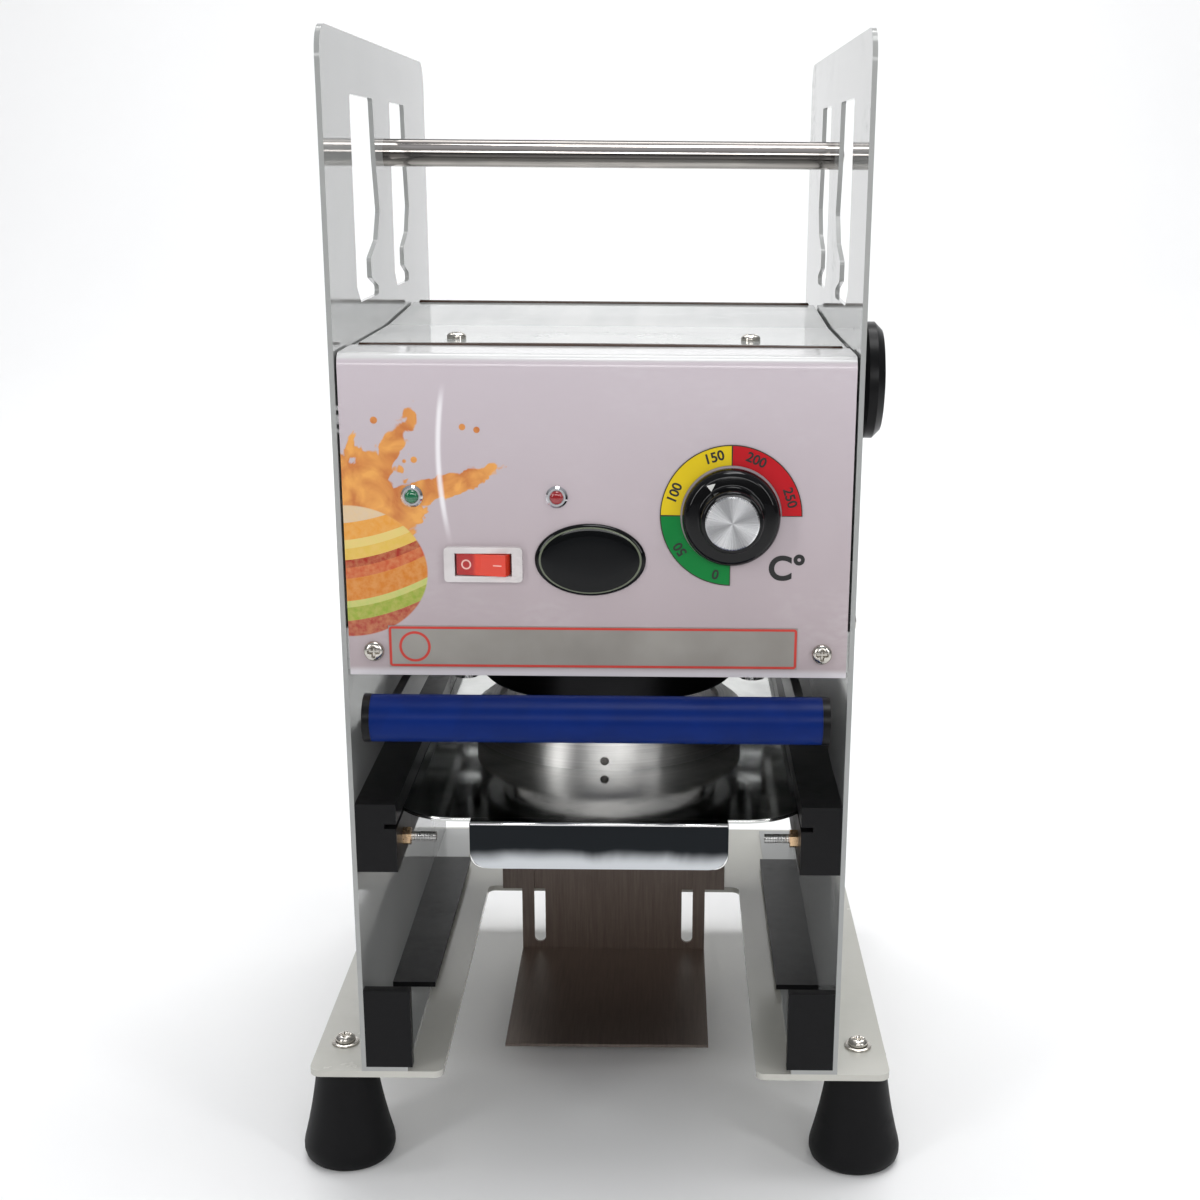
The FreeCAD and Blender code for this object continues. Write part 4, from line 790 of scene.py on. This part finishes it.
def cross_recess(width, reach, depth):
    """Depth of a driver's cross at (u, v): two slots of one width that stop at a reach."""
    def sink(u, v):
        near = np.minimum(np.abs(u), np.abs(v))
        slot = np.clip((width - near) / (width * 0.5), 0, 1)
        within = np.clip((reach - np.hypot(u, v)) / (reach * 0.25), 0, 1)
        return depth * slot * within
    return sink


def pan_head(radius, height, shank, reach):
    """Side view of a pan-head screw with a domed top, fine enough to carry its recess."""
    t = np.linspace(0, math.pi / 2, 26)
    dome = [(radius * math.cos(a) ** 0.75, height * (0.30 + 0.70 * math.sin(a))) for a in t[:-1]]
    return [(0, -reach), (shank, -reach), (shank, 0), (radius, 0), *dome, (0, height)]


def make_feet():
    """Flared rubber feet, turned from one side view of (distance, height)."""
    side = [(0, 0), (16.5, 0), (18.4, 0.7), (19.7, 2.2), (20.4, 4.6), (20.4, 7.4), (20.0, 9.6),
            (19.1, 13), (17.9, 18), (16.4, 25), (15.1, 32), (14.0, 39), (13.1, 46),
            (12.7, 51.2), (12.2, 51.9), (0, 51.9)]
    for word, y in FOOT_Y.items():
        shapes = [lathe(side, (x, y, 0)) for x in (-FOOT_X, FOOT_X)]
        piece(f"{word}_rubber_feet", shapes, "frame", rubber,
              (f"{word}_feet",), 50.0)


def make_screws():
    """Domed screws with driver's crosses: on the panel, on the cover and over the feet."""
    small = pan_head(radius=4.1, height=2.8, shank=2.0, reach=9.0)
    cross = cross_recess(width=0.75, reach=2.6, depth=1.3)
    shapes = [lathe(small, (x, PANEL_FACE, 244.0), "front", SCREW_SIDES, carve=cross)
              for x in (-90, 90)]
    shapes += [lathe(small, (x, -63.0, COVER_TOP), "up", SCREW_SIDES, carve=cross)
               for x in (-62, 62)]
    piece("domed_casing_screws", shapes, "frame", nickel,
          ("casing_screws",), 40.0)
    large = pan_head(radius=4.5, height=3.4, shank=2.1, reach=20.0)
    cross = cross_recess(width=0.85, reach=2.9, depth=1.5)
    thick = 1.0
    washer = [(0, 0), (5.7, 0), (6.0, 0.25), (6.0, 0.75), (5.7, thick), (0, thick)]
    shapes = []
    for x in (-FOOT_X, FOOT_X):
        for y in FOOT_Y.values():
            shapes.append(lathe(washer, (x, y, DECK_TOP)))
            shapes.append(lathe(large, (x, y, DECK_TOP + thick), "up", SCREW_SIDES, carve=cross))
    piece("domed_foot_screws", shapes, "frame", nickel, ("foot_screws",), 40.0)


def on_dial(reach, angle, y):
    """The point at a reach from the dial's middle, at a clockwise angle from its top."""
    return (DIAL[0] + reach * math.sin(angle), y, DIAL[1] + reach * math.cos(angle))


def make_dial_parts():
    """The dial's knob and pointer, the figures of its scale and the unit sign."""
    knob = [(0, 0), (18.9, 0), (19.3, 0.4), (19.3, 2.6), (18.9, 3.9), (18.1, 5.0), (17.2, 5.7),
            (16.6, 5.95), (13.6, 6.0), (12.9, 6.2), (12.55, 6.8), (12.35, 12.6), (12.0, 13.5),
            (11.3, 14.0), (0, 14.0)]
    knob_back = PANEL_FACE - 1.2
    piece("turned_dial_knob", [lathe(knob, (DIAL[0], knob_back, DIAL[1]), "front", 120)], "dial",
          knob_black, ("dial_knob",), 50.0)
    turn = math.radians(-33.0)
    spot = on_dial(15.1, turn, knob_back - 5.9)
    points, faces = lathe([(0, 0), (1.7, 0), (1.7, 0.25), (0, 0.25)], (0, 0, 0), "front", 3)
    points[:, 0] *= 1.25
    points = points @ np.array(Matrix.Rotation(math.radians(-6.0) + turn, 3, "Y")).T
    piece("dial_pointer", [(points + np.array(spot) * MM, faces)], "dial", pointer_white)
    printed = PANEL_FACE - INK_LIFT
    for words, turn in (("0", -166), ("50", -124), ("100", -68), ("150", -17), ("200", 23),
                        ("250", 72)):
        spot = on_dial(24.0, math.radians(turn), printed - LABEL_THK)
        lettering(f"scale_figure_{words}", words, 5.4, spot, turn, 0.14)
    lettering("temperature_unit", "C°", 13.5, (75.0, printed, 278.6), 0, 0.42)


def make_panel_parts():
    """The oval badge and the two lamp lenses, domed like drops."""
    dome = [(0, 0), (22, 0), (22, 0.5), (21.7, 1.0), (21.0, 1.5), (19.8, 1.9), (17.8, 2.2),
            (15.0, 2.4), (11.0, 2.52), (6.0, 2.58), (0, 2.6)]
    oval = lathe(dome, (BADGE[0], PANEL_FACE, BADGE[1]), "front", 128,
                 squeeze=BADGE_HALF[1] / BADGE_HALF[0])
    piece("domed_badge", [oval], "frame", badge_gloss, ("oval_badge",), 60.0)
    lens = [(0, -3), (2.75, -3), (2.75, 1.5), (2.55, 2.1), (2.1, 2.55), (1.4, 2.85), (0, 2.95)]
    for word, paint in (("green", green_glass), ("red", red_glass)):
        drop = lathe(lens, (LAMP_X[word], PANEL_FACE, LAMP_Z), "front", 40)
        piece(f"domed_{word}_lens", [drop], "frame", paint, (f"{word}_lens",),
              60.0)


def make_springs():
    """Coiled return springs round the two posts, in place of the imported ones, with a mesh of
    their own.
    """
    low, high = (np.array(corner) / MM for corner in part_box("return_springs"))
    shapes = [coil((x, 0.0, 0.0), 10.0, 1.0, low[2], high[2], 7) for x in (-POST_X, POST_X)]
    springs = piece("coiled_springs", shapes, "frame", spring,
                    ("return_springs",), 60.0)
    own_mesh(springs)


def make_cover_lines():
    """Dark strips of painted shade and reflection: a painted shadow in the cover's seam with the
    panel, and a painted reflection of brown surroundings along its rear bend.
    """
    half, count = 97.0, 41
    x = np.linspace(-half, half, count)
    sag = 0.5 * np.cos(x / half * 1.4)
    seam = np.stack([x, np.full(count, -99.5), COVER_TOP + 0.6 + sag], 1)
    rear = np.stack([x, np.full(count, 83.6), np.full(count, COVER_TOP + 4.0)], 1)
    shapes = [bar(seam, 0.95, (0, 1, 0)), bar(rear, 0.95, (0, 1, 0))]
    piece("painted_shadow_and_reflection_strips", shapes, "frame", painted_shadow_and_reflection, (), 60.0)


def make_tray_rims():
    """Bright rolled edges: round the lip's sides and foot, along its top, and along the front
    of the tray."""
    side, foot, corner, neck = 48.4, 154.6, 5.0, 167.5
    left = np.concatenate(([(-side - corner, neck)], arc((-side, foot), corner, 180, 270)))
    right = np.concatenate((arc((side, foot), corner, 270, 360), [(side + corner, neck)]))
    hem = np.concatenate((left, right))
    hem = np.stack([hem[:, 0], np.full(len(hem), -131.75), hem[:, 1]], 1)
    bend = arc((-60.7, -98.0), 27.4, 216, 270)
    edge = np.concatenate((bend, bend[::-1] * (-1, 1)))
    edge = np.stack([edge[:, 0], edge[:, 1], np.full(len(edge), 168.3)], 1)
    top = np.array([(x, -131.8, 168.8) for x in (-53.6, 0.0, 53.6)])
    shapes = [bar(hem, 0.7, (0, 1, 0)), bar(edge, 0.72, (0, 0, 1)), bar(top, 0.85, (0, 0, 1))]
    piece("rolled_tray_edges", shapes, "drawer", bright_edge, (), 60.0)


make_feet()
make_screws()
make_dial_parts()
make_panel_parts()
make_springs()
make_cover_lines()
make_tray_rims()


# ---------------------------------------------------------------- stage, light and camera
def make_stage():
    """A pale floor that curves up into a backdrop: a profile carried along X."""
    turn = np.linspace(0, math.pi / 2, 17)
    radius, bend_start, reach = 1.2, 2.2, 6.0
    y = np.concatenate(([-reach], bend_start + radius * np.sin(turn), [bend_start + radius]))
    z = np.concatenate(([0.0], radius - radius * np.cos(turn), [reach]))
    x = np.linspace(-reach, reach, 3)
    grid = np.stack([np.repeat(x, len(y)), np.tile(y, len(x)), np.tile(z, len(x))], 1)
    rows, cols = len(x), len(y)
    at = np.arange(rows * cols).reshape(rows, cols)
    faces = np.stack([at[:-1, :-1], at[1:, :-1], at[1:, 1:], at[:-1, 1:]], -1).reshape(-1, 4)
    mesh = bpy.data.meshes.new("floor")
    mesh.from_pydata(grid.tolist(), [], faces.tolist())
    mesh.shade_smooth()
    floor = bpy.data.objects.new("floor", mesh)
    bpy.context.scene.collection.objects.link(floor)
    made, b, shader = material("floor paint", Roughness=0.6)
    b.join(b.mix(b.noise(b.spot(), 3.0), (0.86, 0.86, 0.86), (0.89, 0.89, 0.89)),
           shader["Base Color"])
    mesh.materials.append(made)


def lamp(name, place, aim, wide, tall, power):
    """A flat white lamp at a place, facing the point it aims at; its power is in watts."""
    light = bpy.data.lights.new(name, "AREA")
    light.shape = "RECTANGLE"
    light.size, light.size_y = wide, tall
    light.energy = power
    thing = bpy.data.objects.new(name, light)
    thing.location = place
    way = Vector(aim) - Vector(place)
    thing.rotation_euler = way.to_track_quat("-Z", "Y").to_euler()
    bpy.context.scene.collection.objects.link(thing)


def make_light():
    """Studio air that is lighter above, four softboxes, and washes on the backdrop and floor."""
    world = bpy.data.worlds.new("studio air")
    world.use_nodes = True
    air = Bench(world.node_tree)
    up = air.axes(air.add("ShaderNodeTexCoord").outputs["Generated"])[2]
    ramp = air.mix(air.span(up, -0.1, 0.9, smooth=True), (0.12, 0.118, 0.115),
                   (0.36, 0.37, 0.39))
    air.join(ramp, world.node_tree.nodes["Background"].inputs["Color"])
    bpy.context.scene.world = world
    bpy.context.scene.view_settings.view_transform = "Standard"
    lamp("ceiling softbox", (0.2, -0.3, 2.0), (0, 0, 0.2), 0.9, 0.5, 10.0)
    lamp("left softbox", (-1.2, -1.3, 0.9), (0, 0, 0.22), 0.28, 1.0, 7.0)
    lamp("right softbox", (1.3, -1.2, 0.9), (0, 0, 0.22), 0.24, 1.0, 6.0)
    lamp("front softbox", (0.1, -1.2, 0.68), (0, 0, 0.2), 0.9, 0.22, 3.6)
    lamp("backdrop wash", (0.0, 1.4, 2.8), (0, 2.8, 0.6), 4.0, 0.8, 62.0)
    lamp("floor wash", (0.0, 0.9, 2.6), (0, 0.9, 0.0), 3.0, 1.2, 24.0)


def make_camera():
    """A camera in front, above the machine, that looks down with a slight roll."""
    camera = bpy.data.cameras.new("camera")
    camera.sensor_width = 36.0
    camera.lens = 52.98
    camera.shift_x, camera.shift_y = -0.054, 0.083
    camera.clip_start = 0.05
    thing = bpy.data.objects.new("camera", camera)
    thing.location = (0.027, -0.820, 0.433)
    tilt = Matrix.Rotation(math.radians(90 - 16.94), 4, "X")
    roll = Matrix.Rotation(math.radians(0.45), 4, "Z")
    thing.rotation_euler = (tilt @ roll).to_euler()
    bpy.context.scene.collection.objects.link(thing)
    bpy.context.scene.camera = thing


make_stage()
make_light()
make_camera()
